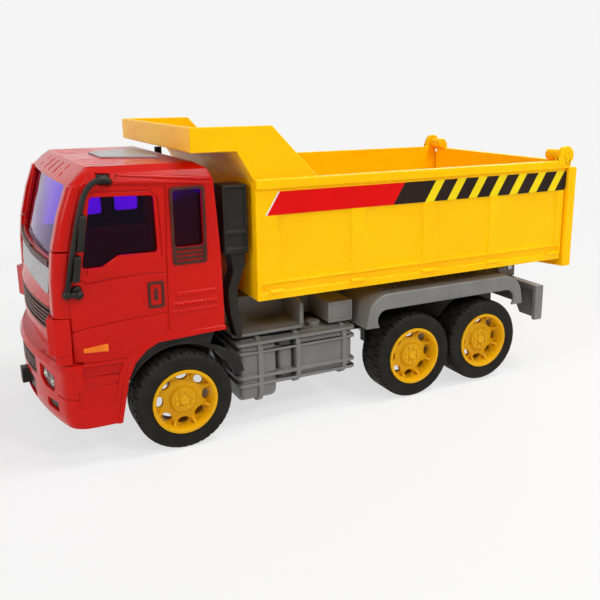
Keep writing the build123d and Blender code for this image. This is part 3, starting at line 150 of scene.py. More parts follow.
@dataclass(frozen=True)
class Finish:
    """One finish of the toy, as a procedural material on Object coordinates.

    The colour drifts between two tones on a broad noise, the roughness drifts on a finer one,
    and two noises (moulding waviness and grain) drive the bump.
    """

    name: str
    slot: str
    sheen: Sheen
    tone: Triple
    deep_tone: Triple
    roughness: Pair
    shine: float = 0.2          # specular level
    drift: float = 28.0         # broad colour noise, per metre
    grain: float = 2600.0       # fine grain, per metre
    grain_depth: float = 0.06   # bump strength of the grain
    wave_depth: float = 0.08    # bump strength of the moulding waviness
    scuffs: float = 0.0         # how strongly fine scratches lighten the skin
    translucency: float = 0.0

    def material(self) -> bpy.types.Material:
        """Return this finish's material, made once and shared."""
        found = bpy.data.materials.get(f"{self.name}_finish")
        return found if found else self._build()

    def _build(self) -> bpy.types.Material:
        """Build the node tree: tone, roughness, scuffs and bump from noises on Object coordinates.

        Returns:
            The new material.
        """
        made = bpy.data.materials.new(f"{self.name}_finish")
        made.use_nodes = True
        made.diffuse_color = (*self.tone, 1.0)
        tree = made.node_tree
        tree.nodes.clear()
        place = tree.nodes.new("ShaderNodeTexCoord").outputs["Object"]

        tone = self._ramp(tree, self._noise(tree, place, self.drift, detail=3.0, roughness=0.55))
        if self.scuffs:
            tone = self._scuffed(tree, place, tone)

        patches = self._noise(tree, place, self.drift * PATCH_RATIO, detail=4.0, roughness=0.6)
        rough = map_range(tree, patches, PATCH_SPAN, self.roughness)

        waves = self._noise(tree, place, WAVE_SCALE, detail=2.0, roughness=0.5)
        grain = self._noise(tree, place, self.grain, detail=2.0, roughness=0.5)
        waved = self._bump(tree, waves, self.wave_depth, WAVE_HEIGHT, None)
        grained = self._bump(tree, grain, self.grain_depth, GRAIN_HEIGHT, waved)

        varying = {"Base Color": tone, "Roughness": rough, "Normal": grained}
        skin = add_node(tree, "ShaderNodeBsdfPrincipled", self._constants() | varying)
        add_node(tree, "ShaderNodeOutputMaterial", {"Surface": skin.outputs["BSDF"]})
        return made

    def _constants(self) -> dict[str, float | Triple]:
        """Return the shader's inputs that are the same all over the skin."""
        constants = {"IOR": PLASTIC_IOR, "Specular IOR Level": self.shine}
        if self.sheen is Sheen.METALLIC:
            constants["Metallic"] = METALLIC_SHARE
        if self.sheen is Sheen.GLAZING:
            constants |= {"IOR": GLAZING_IOR, "Transmission Weight": 1.0}
        if self.translucency:
            constants |= {"Subsurface Weight": self.translucency, "Subsurface Radius": GLOW_REACH,
                          "Subsurface Scale": GLOW_SCALE}
        return constants

    @staticmethod
    def _noise(tree: NodeTree, place: NodeSocket, scale: float, detail: float,
               roughness: float) -> NodeSocket:
        """Return a noise's factor at that scale per metre."""
        settings = {"Vector": place, "Scale": scale, "Detail": detail, "Roughness": roughness}
        return add_node(tree, "ShaderNodeTexNoise", settings).outputs["Fac"]

    def _ramp(self, tree: NodeTree, factor: NodeSocket) -> NodeSocket:
        """Return the colour that runs from the deep tone to the tone as the factor rises."""
        ramp = add_node(tree, "ShaderNodeValToRGB", {"Fac": factor})
        tones = (self.deep_tone, self.tone)
        for element, spot, tone in zip(ramp.color_ramp.elements, TONE_STOPS, tones):
            element.position = spot
            element.color = (*tone, 1.0)
        return ramp.outputs["Color"]

    @staticmethod
    def _bump(tree: NodeTree, height: NodeSocket, strength: float, distance: float,
              under: NodeSocket | None) -> NodeSocket:
        """Return a normal raised by a height, on top of another bump if there is one."""
        settings = {"Height": height, "Strength": strength, "Distance": distance}
        if under is not None:
            settings["Normal"] = under
        return add_node(tree, "ShaderNodeBump", settings).outputs["Normal"]

    def _scuffed(self, tree: NodeTree, place: NodeSocket, tone: NodeSocket) -> NodeSocket:
        """Return the tone with faint pale speckles and hairlines, where a stretched noise peaks."""
        stretch = {"Vector": place, "Rotation": SCUFF_TURN, "Scale": SCUFF_STRETCH}
        stretched = add_node(tree, "ShaderNodeMapping", stretch).outputs["Vector"]
        lines = self._noise(tree, stretched, 1.0, detail=3.0, roughness=0.7)
        amount = map_range(tree, lines, SCUFF_SPAN, (0.0, self.scuffs))
        pale = tuple(min(1.0, SCUFF_PALENESS + (1.0 - SCUFF_PALENESS) * part) for part in self.tone)
        settings = {"Factor": amount, "A": tone, "B": (*pale, 1.0)}
        return add_node(tree, "ShaderNodeMix", settings, data_type="RGBA").outputs["Result"]


CAB_RED = Finish("cab_red", "cab_red", Sheen.GLOSS, (0.55, 0.005, 0.001), (0.48, 0.004, 0.001),
                 (0.16, 0.25), 0.17, grain_depth=0.03, scuffs=0.02, translucency=0.04)
BED_YELLOW = Finish("bed_yellow", "bed_yellow", Sheen.GLOSS, (1.0, 0.54, 0.0005), (0.98, 0.50, 0.0005),
                    (0.20, 0.30), 0.085, grain_depth=0.01, wave_depth=0.025, scuffs=0.004,
                    translucency=0.35)
RIM_YELLOW = Finish("rim_yellow", "rim_yellow", Sheen.SATIN, (0.72, 0.38, 0.001), (0.64, 0.32, 0.001),
                    (0.36, 0.5), drift=60.0, scuffs=0.05, translucency=0.05)
TYRE_BLACK = Finish("tyre_rubber", "tyre_rubber", Sheen.RUBBER, (0.018, 0.017, 0.013),
                    (0.011, 0.010, 0.008), (0.5, 0.75), 0.12, drift=110.0, grain=3800.0, grain_depth=0.25,
                    wave_depth=0.2, scuffs=0.10)
CHASSIS_GREY = Finish("chassis_grey", "chassis_grey", Sheen.SATIN, (0.205, 0.203, 0.192),
                      (0.155, 0.153, 0.145), (0.26, 0.40), 0.28, drift=45.0, grain_depth=0.05, scuffs=0.03)
BLACK_PLASTIC = Finish("black_plastic", "black_plastic", Sheen.SATIN, (0.021, 0.019, 0.015),
                       (0.012, 0.011, 0.009), (0.28, 0.46), drift=70.0, grain_depth=0.12, scuffs=0.08)
GLAZING = Finish("tinted_glazing", "tinted_glazing", Sheen.GLAZING, (0.33, 0.03, 0.86),
                 (0.27, 0.02, 0.78), (0.02, 0.10), 0.07, drift=90.0, grain_depth=0.03, wave_depth=0.1,
                 scuffs=0.05)
BADGE_GREY = Finish("badge_grey", "badge_grey", Sheen.METALLIC, (0.42, 0.41, 0.42), (0.34, 0.33, 0.34),
                    (0.3, 0.42), drift=80.0, scuffs=0.12)
TRIM_BROWN = Finish("trim_brown", "trim_brown", Sheen.SATIN, (0.085, 0.026, 0.018),
                    (0.050, 0.014, 0.010), (0.3, 0.48), 0.14, drift=120.0, grain_depth=0.15, scuffs=0.1)
LAMP_SILVER = Finish("lamp_silver", "lamp_silver", Sheen.METALLIC, (0.20, 0.125, 0.11),
                     (0.10, 0.055, 0.048), (0.18, 0.32), drift=160.0, grain_depth=0.1)
LAMP_DARK = Finish("lamp_dark", "lamp_silver", Sheen.SATIN, (0.045, 0.036, 0.028), (0.020, 0.015, 0.012),
                   (0.25, 0.4), drift=200.0, grain_depth=0.1)
BULB_SILVER = Finish("bulb_silver", "lamp_silver", Sheen.METALLIC, (0.50, 0.47, 0.45), (0.38, 0.35, 0.34),
                     (0.08, 0.16), drift=300.0, grain_depth=0.05)
LAMP_ORANGE = Finish("lamp_orange", "lamp_orange", Sheen.GLOSS, (0.85, 0.20, 0.01), (0.70, 0.13, 0.008),
                     (0.15, 0.25), drift=200.0)
AXLE_STEEL = Finish("axle_steel", "axle_steel", Sheen.METALLIC, (0.5, 0.5, 0.5), (0.38, 0.38, 0.39),
                    (0.22, 0.38), drift=200.0, grain_depth=0.15, scuffs=0.2)
VINYL_RED = Finish("vinyl_red", "cab_red", Sheen.VINYL, (0.72, 0.002, 0.002), (0.66, 0.001, 0.001),
                   (0.3, 0.42), 0.11, drift=60.0, grain_depth=0.12, scuffs=0.12)
VINYL_BLACK = Finish("vinyl_black", "black_plastic", Sheen.VINYL, (0.024, 0.014, 0.010),
                     (0.016, 0.009, 0.007), (0.3, 0.45), 0.11, drift=60.0, grain_depth=0.12, scuffs=0.3)
VINYL_YELLOW = Finish("vinyl_yellow", "bed_yellow", Sheen.VINYL, (0.86, 0.66, 0.006),
                      (0.80, 0.60, 0.005), (0.3, 0.42), 0.11, drift=60.0, grain_depth=0.1, scuffs=0.08)
VINYL_WHITE = Finish("vinyl_white", "badge_grey", Sheen.VINYL, (0.80, 0.79, 0.76), (0.74, 0.73, 0.70),
                     (0.3, 0.42), 0.11, drift=60.0)


def at(behind_front_axle: float) -> float:
    """Y in mm of a place given as its distance behind the front axle."""
    return FRONT_AXLE_Y + behind_front_axle


def linked(name: str, data: bpy.types.ID) -> Object:
    """Return a new object that shows the data in the scene."""
    made = bpy.data.objects.new(name, data)
    bpy.context.scene.collection.objects.link(made)
    return made


def mesh_piece(name: str, surface: Surface, finish: Finish, body: str, crisp: float,
               closed: bool = True) -> Object:
    """Make a piece of the truck from a surface and let it ride on a body.

    Args:
        name: the piece's name.
        surface: its places in the truck's frame and its faces, counter-clockwise from outside.
        finish: what it is dressed in.
        body: the body it moves with.
        crisp: edges that fold more than this many degrees are shaded crisp.
        closed: the surface closes on itself, so its faces can be turned outward.

    Returns:
        The new object, at the origin.
    """
    points, quads = surface
    mesh = bpy.data.meshes.new(name)
    mesh.vertices.add(len(points))
    mesh.vertices.foreach_set("co", (points * MM).astype(np.float32).ravel())
    mesh.loops.add(quads.size)
    mesh.loops.foreach_set("vertex_index", quads.astype(np.int32).ravel())
    mesh.polygons.add(len(quads))
    mesh.polygons.foreach_set("loop_start", np.arange(0, quads.size, 4, dtype=np.int32))
    mesh.update(calc_edges=True)
    mesh.validate()
    piece = linked(name, mesh)
    if closed:
        weld(mesh)
    mesh.shade_smooth()
    mesh.set_sharp_from_angle(angle=math.radians(crisp))
    mesh.materials.append(finish.material())
    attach(piece, body)
    return piece


def weld(mesh: bpy.types.Mesh) -> None:
    """Merge a mesh's doubles and turn its faces outward."""
    work = bmesh.new()
    work.from_mesh(mesh)
    bmesh.ops.remove_doubles(work, verts=work.verts, dist=PIECE_MERGE)
    bmesh.ops.recalc_face_normals(work, faces=work.faces)
    work.to_mesh(mesh)
    work.free()


def turned(centres: np.ndarray, axis: Triple, reach: np.ndarray, rise: np.ndarray,
           around: int = 14) -> Surface:
    """Turn one profile about an axis at each of several centres.

    A place is centre + reach[s] * (cos(a) * u + sin(a) * v) + rise[s] * axis, where u and v are
    square to the axis and a runs once round. The profile is carried in to the axis at both ends,
    so each piece is closed.

    Args:
        centres: (n, 3) places in mm.
        axis: the direction that rise runs along.
        reach: the profile's distances from the axis.
        rise: the profile's places along the axis.
        around: steps round the axis.

    Returns:
        The (points, quads) of all the turned pieces.
    """
    reach = np.concatenate([[0.0], reach, [0.0]])
    rise = np.concatenate([rise[:1], rise, rise[-1:]])
    along = np.array(axis) / np.linalg.norm(axis)
    u = np.cross(along, (0.0, 0.0, 1.0) if abs(along[2]) < 0.9 else (0.0, 1.0, 0.0))
    u = u / np.linalg.norm(u)
    v = np.cross(along, u)
    a = np.arange(around) / around * 2 * np.pi
    spoke = np.cos(a)[:, None] * u + np.sin(a)[:, None] * v
    one = reach[None, :, None] * spoke[:, None, :] + rise[None, :, None] * along
    points = (np.asarray(centres)[:, None, None, :] + one[None]).reshape(-1, 3)
    return points, repeated(grid_quads(around, reach.size, closed_rows=True), len(centres))


def grid_quads(rows: int, columns: int, closed_rows: bool = False,
               closed_columns: bool = False) -> np.ndarray:
    """Corner numbers of a grid of rows by columns places, joined round where it is closed.

    Corner (i, j) has the number i * columns + j, and each quad joins (i, j), (i+1, j),
    (i+1, j+1) and (i, j+1).
    """
    i = np.arange(rows if closed_rows else rows - 1)
    j = np.arange(columns if closed_columns else columns - 1)
    i, j = np.meshgrid(i, j, indexing="ij")
    i2, j2 = (i + 1) % rows, (j + 1) % columns
    corners = [i * columns + j, i2 * columns + j, i2 * columns + j2, i * columns + j2]
    return np.stack(corners, -1).reshape(-1, 4)


def places(x: np.ndarray, y: np.ndarray, z: np.ndarray) -> np.ndarray:
    """The (n, 3) places of x, y and z, which are spread to one shape first."""
    return np.stack(np.broadcast_arrays(x, y, z), -1).reshape(-1, 3)


def repeated(quads: np.ndarray, times: int) -> np.ndarray:
    """The quads of one grid for that many equal grids, whose places follow on each other."""
    shift = np.arange(times) * (quads.max() + 1)
    return (quads[None] + shift[:, None, None]).reshape(-1, 4)


def outward(quads: np.ndarray, side: float) -> np.ndarray:
    """The quads of a left side's sheet, turned over on the right side."""
    return quads if side > 0 else quads[:, ::-1]


def between(values: np.ndarray, low: float, high: float) -> np.ndarray:
    """Where the values lie between two numbers."""
    return (values > low) & (values < high)


def joined(*surfaces: Surface) -> Surface:
    """One surface of several, with the corner numbers carried on."""
    shift = np.cumsum([0] + [len(points) for points, _ in surfaces[:-1]])
    return (np.concatenate([points for points, _ in surfaces]),
            np.concatenate([quads + start for (_, quads), start in zip(surfaces, shift)]))


def tube(path: np.ndarray, radius: float, steps: int = 6, around: int = 16) -> Surface:
    """Tube along a smooth curve, closed at its ends.

    The curve runs through the path's places as a Catmull-Rom spline. Ring k is
    radius * (cos(a) * u + sin(a) * v) about it, where u is square to the curve and to a fixed
    slant that the curve never follows, and v to both.

    Args:
        path: (n, 3) places in mm.
        radius: the tube's radius.
        steps: rings from one place to the next.
        around: corners of a ring.

    Returns:
        The tube's (points, quads).
    """
    held = np.concatenate([2 * path[:1] - path[1:2], path, 2 * path[-1:] - path[-2:-1]])
    a, b, c, d = held[:-3, None], held[1:-2, None], held[2:-1, None], held[3:, None]
    t = (np.arange(steps) / steps)[None, :, None]
    curve = 0.5 * (2 * b + (c - a) * t + (2 * a - 5 * b + 4 * c - d) * t ** 2
                   + (3 * b - a - 3 * c + d) * t ** 3)
    curve = np.concatenate([curve.reshape(-1, 3), path[-1:]])
    along = np.gradient(curve, axis=0)
    u = np.cross(along, (1.0, 1.0, 1.0))
    v = np.cross(along, u)
    u, v = (side / np.linalg.norm(side, axis=1, keepdims=True) for side in (u, v))
    turn = np.arange(around) / around * 2 * np.pi
    ring = np.cos(turn)[None, :, None] * u[:, None] + np.sin(turn)[None, :, None] * v[:, None]
    points = curve[:, None] + radius * ring
    ends = [np.broadcast_to(end, (1, around, 3)) for end in (curve[0], curve[-1])]
    points = np.concatenate([ends[0], points, ends[1]])
    return points.reshape(-1, 3), grid_quads(len(points), around, closed_columns=True)


@dataclass(frozen=True)
class Dressing:
    """How a CAD node is dressed: its finish and how far its moulded edges are rounded, in mm."""

    node: str
    finish: Finish
    edge: float


@dataclass
class Packed:
    """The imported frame, and the copies of its nodes that carry rounded edges."""

    frame: dict
    bodies: dict[str, str] = field(default_factory=dict)
    flat: float = math.radians(0.8)         # faces that fold less than this are one
    rounded: float = math.radians(28.0)     # edges that fold more than this are rounded
    crisp: float = math.radians(50.0)       # edges that fold more than this are shaded crisp

    def __post_init__(self) -> None:
        """Look up the body that each node moves with."""
        for body, nodes in self.frame["record"]["behaviour"]["bodies"].items():
            self.bodies.update({node: body for node in nodes})

    def dress(self, dressing: Dressing) -> Object:
        """Show a node as a copy with rounded edges.

        The copy is the node's mesh with its doubles merged and its flat faces joined. Every edge
        that folds clearly is bevelled, as wide as the faces beside it leave room for.

        Args:
            dressing: the node, its finish and its edge.

        Returns:
            The object that shows the node.
        """
        mesh = self.frame["nodes"][dressing.node].data.copy()
        mesh.name = f"{dressing.node}_moulding"
        work = bmesh.new()
        work.from_mesh(mesh)
        bmesh.ops.remove_doubles(work, verts=work.verts, dist=NODE_MERGE)
        bmesh.ops.dissolve_limit(work, angle_limit=self.flat, verts=work.verts, edges=work.edges)
        weight = work.edges.layers.float.new("bevel_weight_edge")
        for edge in work.edges:
            if len(edge.link_faces) == 2 and edge.calc_face_angle(0.0) > self.rounded:
                edge[weight] = min(1.0, self._room(edge) / (dressing.edge * MM))
        work.to_mesh(mesh)
        work.free()
        mesh.materials.clear()
        mesh.materials.append(dressing.finish.material())
        if "custom_normal" in mesh.attributes:
            mesh.attributes.remove(mesh.attributes["custom_normal"])
        mesh.shade_smooth()
        mesh.set_sharp_from_angle(angle=self.crisp)
        piece = linked(f"{dressing.node}_moulding", mesh)
        rounding = piece.modifiers.new("rounding", "BEVEL")
        rounding.limit_method = "WEIGHT"
        rounding.width = dressing.edge * MM
        rounding.segments = ROUNDING_STEPS
        rounding.use_clamp_overlap = False
        rounding.harden_normals = True
        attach(piece, self.bodies[dressing.node])
        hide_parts(dressing.node)
        return piece

    def reach(self, node: str, start: Triple, way: Triple) -> np.ndarray:
        """Place in mm where a line from start first meets a node."""
        work = bmesh.new()
        work.from_mesh(self.frame["nodes"][node].data)
        tree = BVHTree.FromBMesh(work)
        work.free()
        hit = tree.ray_cast(Vector(start) * MM, Vector(way))[0]
        return np.array(hit) / MM

    @staticmethod
    def _room(edge: bmesh.types.BMEdge) -> float:
        """Nearly half the narrowest width beside an edge, in metres.

        The width is how far each neighbouring edge of its two faces leads away from its line;
        neighbours that only carry the line on round a curve are left out.
        """
        least_slant, share = 0.35, 0.45
        along = (edge.verts[1].co - edge.verts[0].co).normalized()
        room = 1.0
        for loop in edge.link_loops:
            for other in (loop.link_loop_prev.edge, loop.link_loop_next.edge):
                run = other.verts[1].co - other.verts[0].co
                away = (run - along * run.dot(along)).length
                if away > least_slant * run.length:
                    room = min(room, share * away)
        return room


@dataclass
class Wheel:
    """One wheel: a treaded tyre, its rim and the rim's ring of nuts. Sizes in mm."""

    axle: str
    side_name: str
    side: float
    centre_y: float
    centre_z: float
    turn: float                     # the tread's start, in pitches
    radius: float = TYRE_RADIUS
    width: float = 17.0
    face_x: float = 60.0
    bore: float = 14.55
    pitches: int = 24               # tread blocks round the tyre
    tread_depth: float = 0.75
    rib_edge: float = 3.1           # half width of the middle row of blocks
    groove: float = 0.7
    groove_wall: float = 0.12       # how far a groove's wall leans
    shoulder_slot: Pair = (0.01, 0.12)      # in pitches
    middle_slot: Pair = (0.51, 0.61)        # in pitches
    notch: Pair = (6.3, 7.6)                # from the middle plane
    middle_depth: float = 0.9       # of the tread's depth
    notch_depth: float = 0.7        # of the tread's depth
    cut_fade: Pair = (1.0, 0.1)     # under the tread, where the cuts begin and reach their depth
    nuts: int = 8
    nut_circle: float = 3.75
    nut_radius: float = 0.78
    nut_height: float = 0.7
    hub_x: float = 57.4

    def build(self, packed: Packed) -> list[Object]:
        """Build the wheel.

        Args:
            packed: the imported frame.

        Returns:
            The wheel's pieces.
        """
        rim = packed.dress(Dressing(f"{self.axle}_rim_{self.side_name}", RIM_YELLOW, 0.22))
        return [self._tyre(), rim, self._nuts()]

    def _placed(self, along: np.ndarray, radius: np.ndarray, angle: np.ndarray) -> np.ndarray:
        """Places at a distance along the axle, a radius and an angle round it, as (n, 3)."""
        y = self.centre_y + radius * np.cos(angle)
        z = self.centre_z + radius * np.sin(angle)
        return places(self.side * along, y, z)

    def _section(self) -> tuple[np.ndarray, np.ndarray]:
        """Half of the tyre's section, from the bore over the sidewall to the tread's middle.

        Returns:
            Distance from the middle plane and radius, as two arrays. The sidewall carries a bead
            beside the rim and a thin ring under the shoulder.
        """
        half = self.width / 2
        inset = np.array([0.9, 0.30, 0.10, 0.10, 0.28, 0.28, 0.08, 0.0, 0.0, 0.0, 0.02, -0.02, 0.02,
                          0.08, 0.25, 0.60, 1.10, 1.70])
        radius = np.array([0.0, 0.30, 0.75, 1.25, 1.50, 1.75, 2.05, 2.6, 3.4, 4.2, 4.75, 4.95, 5.15,
                           5.5, 6.0, 6.55, 6.95, 7.20])
        outer_edge = self.rib_edge + self.groove
        tread = np.array([6.2, 5.6, 4.6, outer_edge, outer_edge - self.groove_wall,
                          self.rib_edge + self.groove_wall, self.rib_edge, 2.0, 1.0])
        across = np.concatenate([half - inset, tread])
        reach = np.concatenate([self.bore + radius, np.full(tread.size, self.radius)])
        return across, reach

    def _tyre(self) -> Object:
        """Tyre as the section carried round the axle, with the tread cut radially into it.

        The cut is the depth times the greatest of four masks: two grooves round the tyre, slots
        between the shoulder blocks that run out over the shoulder, narrower slots half a pitch on
        through the middle row, and a notch in each shoulder block. Samples round the tyre stand
        at the slots' edges.
        """
        across, reach = self._section()
        across = np.concatenate([across, [0.0], -across[::-1]])
        reach = np.concatenate([reach, [self.radius], reach[::-1]])
        steps = np.array([0.0, 0.02, 0.11, 0.13, 0.26, 0.38, 0.50, 0.52, 0.60, 0.62, 0.75, 0.88])
        spot = (np.arange(self.pitches)[:, None] + steps[None, :]).ravel()
        phase = np.broadcast_to(steps, (self.pitches, steps.size)).ravel()
        u, p = np.meshgrid(across, phase, indexing="xy")
        r = np.broadcast_to(reach, u.shape)
        distance = np.abs(u)
        in_groove, hair = self.rib_edge + 0.5, 0.05
        shoulder = between(p, *self.shoulder_slot) & (distance > in_groove)
        middle = between(p, *self.middle_slot) & (distance < in_groove)
        notch = between(p, *self.middle_slot) & between(distance, *self.notch)
        ring = between(distance, self.rib_edge + hair, self.rib_edge + self.groove - hair)
        cut = np.maximum.reduce([shoulder * 1.0, middle * self.middle_depth,
                                 notch * self.notch_depth, ring * 1.0])
        begin, full = self.cut_fade
        over_shoulder = np.clip((r - (self.radius - begin)) / (begin - full), 0.0, 1.0)
        lowered = r - cut * self.tread_depth * over_shoulder
        angle = (spot + self.turn) / self.pitches * 2 * np.pi
        angle = np.broadcast_to(angle[:, None], u.shape)
        middle_x = self.face_x - self.width / 2
        points = self._placed(middle_x + u, lowered, angle)
        quads = grid_quads(spot.size, across.size, closed_rows=True, closed_columns=True)
        name = f"{self.axle}_tyre_{self.side_name}"
        tyre = mesh_piece(f"{name}_treaded", (points, quads), TYRE_BLACK, f"{self.axle}_wheels", crisp=38.0)
        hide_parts(name)
        return tyre

    def _nuts(self) -> Object:
        """Ring of wheel nuts: a domed profile turned about each nut's middle."""
        reach = np.array([1.0, 1.0, 0.92, 0.62, 0.02]) * self.nut_radius
        rise = np.array([-0.3, 0.55, 0.8, 0.98, 1.0]) * self.nut_height
        spot = (np.arange(self.nuts) + 0.5) / self.nuts * 2 * np.pi
        centres = self._placed(np.full(self.nuts, self.hub_x), np.full(self.nuts, self.nut_circle), spot)
        domes = turned(centres, (self.side, 0.0, 0.0), reach, rise)
        return mesh_piece(f"{self.axle}_nuts_{self.side_name}", domes, RIM_YELLOW,
                          f"{self.axle}_wheels", crisp=40.0)


@dataclass
class Bed:
    """The tipping bed, its tailgate and the vinyl band along each side. Sizes in mm."""

    side_x: float = 60.0
    band_low: float = 100.2
    band_high: float = 110.4
    slant: float = 6.3              # how far the slanted ends lean back over the band's height
    red_front: float = 39.4
    red_rear: float = 105.2
    black_rear: float = 214.4
    bars_front: float = 123.3
    bar_pitch: float = 13.17
    bar_width: float = 5.25
    bars: int = 7
    edge_width: float = 0.7
    band_proud: float = 0.06        # how far each layer of vinyl stands off the wall
    bars_proud: float = 0.10
    edge_proud: float = 0.11
    sunk: float = 0.05              # how far the vinyl's rims lie in the wall
    panels: tuple[Pair, ...] = (
        (45.3, 82.4), (89.8, 122.4), (129.8, 163.7), (170.3, 209.7))
    panel_low: float = 70.6
    panel_high: float = 100.4
    panel_depth: float = 0.9
    slope_reach: float = 2.0        # along the panel
    slope_rise: float = 0.52        # up the panel's wall

    def build(self, packed: Packed) -> list[Object]:
        """Build the bed.

        Args:
            packed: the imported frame.

        Returns:
            The bed's pieces.
        """
        pieces = [packed.dress(Dressing("bed_tub", BED_YELLOW, 0.6)),
                  packed.dress(Dressing("tailgate", BED_YELLOW, 0.6))]
        starts = self.bars_front + self.bar_pitch * np.arange(self.bars)
        strips = (
            ("red", [(self.red_front, self.red_rear)], self.band_proud, VINYL_RED),
            ("black", [(self.red_rear, self.black_rear)], self.band_proud, VINYL_BLACK),
            ("bars", [(start, start + self.bar_width) for start in starts], self.bars_proud, VINYL_YELLOW),
            ("edge", [(self.red_front, self.red_front + self.edge_width)], self.edge_proud, VINYL_WHITE),
        )
        for side_name, side in SIDES:
            pieces.extend(self._strip(f"band_{name}_{side_name}", side, spans, proud, finish)
                          for name, spans, proud, finish in strips)
            pieces.append(self._panel_borders(side_name, side))
        return pieces

    def _panel_borders(self, side_name: str, side: float) -> Object:
        """Sloping borders of the side's panels, from each panel up its wall.

        Ring k of a border is the panel's outline drawn in by reach * (1 - t) and raised from the
        panel by rise * t, for t from 0 to 1; its foot is rounded over the first fifth as t * t.
        The first ring dips into the panel and the last one into the wall.
        """
        foot, lap, dip = 0.2, 0.1, 0.08
        t = np.linspace(0.0, 1.0, 11)
        up = np.where(t < foot, t * t / (2 * foot), t - foot / 2) / (1 - foot / 2)
        inset = np.concatenate([[self.slope_reach + lap], self.slope_reach * (1 - t), [-lap]])
        rise = np.concatenate([[-dip], self.slope_rise * up, [self.slope_rise]])
        corner = np.array([[0, 0], [1, 0], [1, 1], [0, 1]])
        way = 1 - 2 * corner
        y_corner = at(np.array(self.panels)[:, corner[:, 0]])
        z_corner = np.array([self.panel_low, self.panel_high])[corner[:, 1]]
        y = y_corner[:, None, :] + inset[None, :, None] * way[None, None, :, 0]
        z = z_corner[None, None, :] + inset[None, :, None] * way[None, None, :, 1]
        x = side * (self.side_x - self.panel_depth + rise[None, :, None])
        quads = repeated(grid_quads(inset.size, 4, closed_columns=True), len(self.panels))
        return mesh_piece(f"panel_borders_{side_name}", (places(x, y, z), outward(quads, side)),
                          BED_YELLOW, "bed", crisp=40.0, closed=False)

    def _strip(self, name: str, side: float, spans: list[Pair], proud: float, finish: Finish) -> Object:
        """Slanted vinyl pieces on the bed's side, each a thin closed slab.

        A place is front + s * (rear - front) + slant * t along the truck and low + t * height up,
        for s and t from 0 to 1; the slab's rim falls back into the wall.

        Args:
            name: the piece's name.
            side: 1 for the left side, -1 for the right.
            spans: front and rear of each piece at its foot, behind the front axle.
            proud: how far the vinyl stands off the wall.
            finish: its finish.

        Returns:
            The new piece.
        """
        fronts = np.array([span[0] for span in spans])
        rears = np.array([span[1] for span in spans])
        s = np.array([0.0, 0.0, 1.0, 1.0])
        t = np.concatenate([[0.0], np.linspace(0.0, 1.0, 5), [1.0]])
        n, j, i = np.meshgrid(np.arange(fronts.size), np.arange(t.size), np.arange(s.size), indexing="ij")
        inside = (i > 0) & (i < s.size - 1) & (j > 0) & (j < t.size - 1)
        y = at(0.0) + fronts[n] + s[i] * (rears[n] - fronts[n]) + self.slant * t[j]
        z = self.band_low + t[j] * (self.band_high - self.band_low)
        x = side * (self.side_x + np.where(inside, proud, -self.sunk))
        quads = repeated(grid_quads(t.size, s.size), fronts.size)
        return mesh_piece(name, (places(x, y, z), outward(quads, side)), finish, "bed", crisp=30.0)


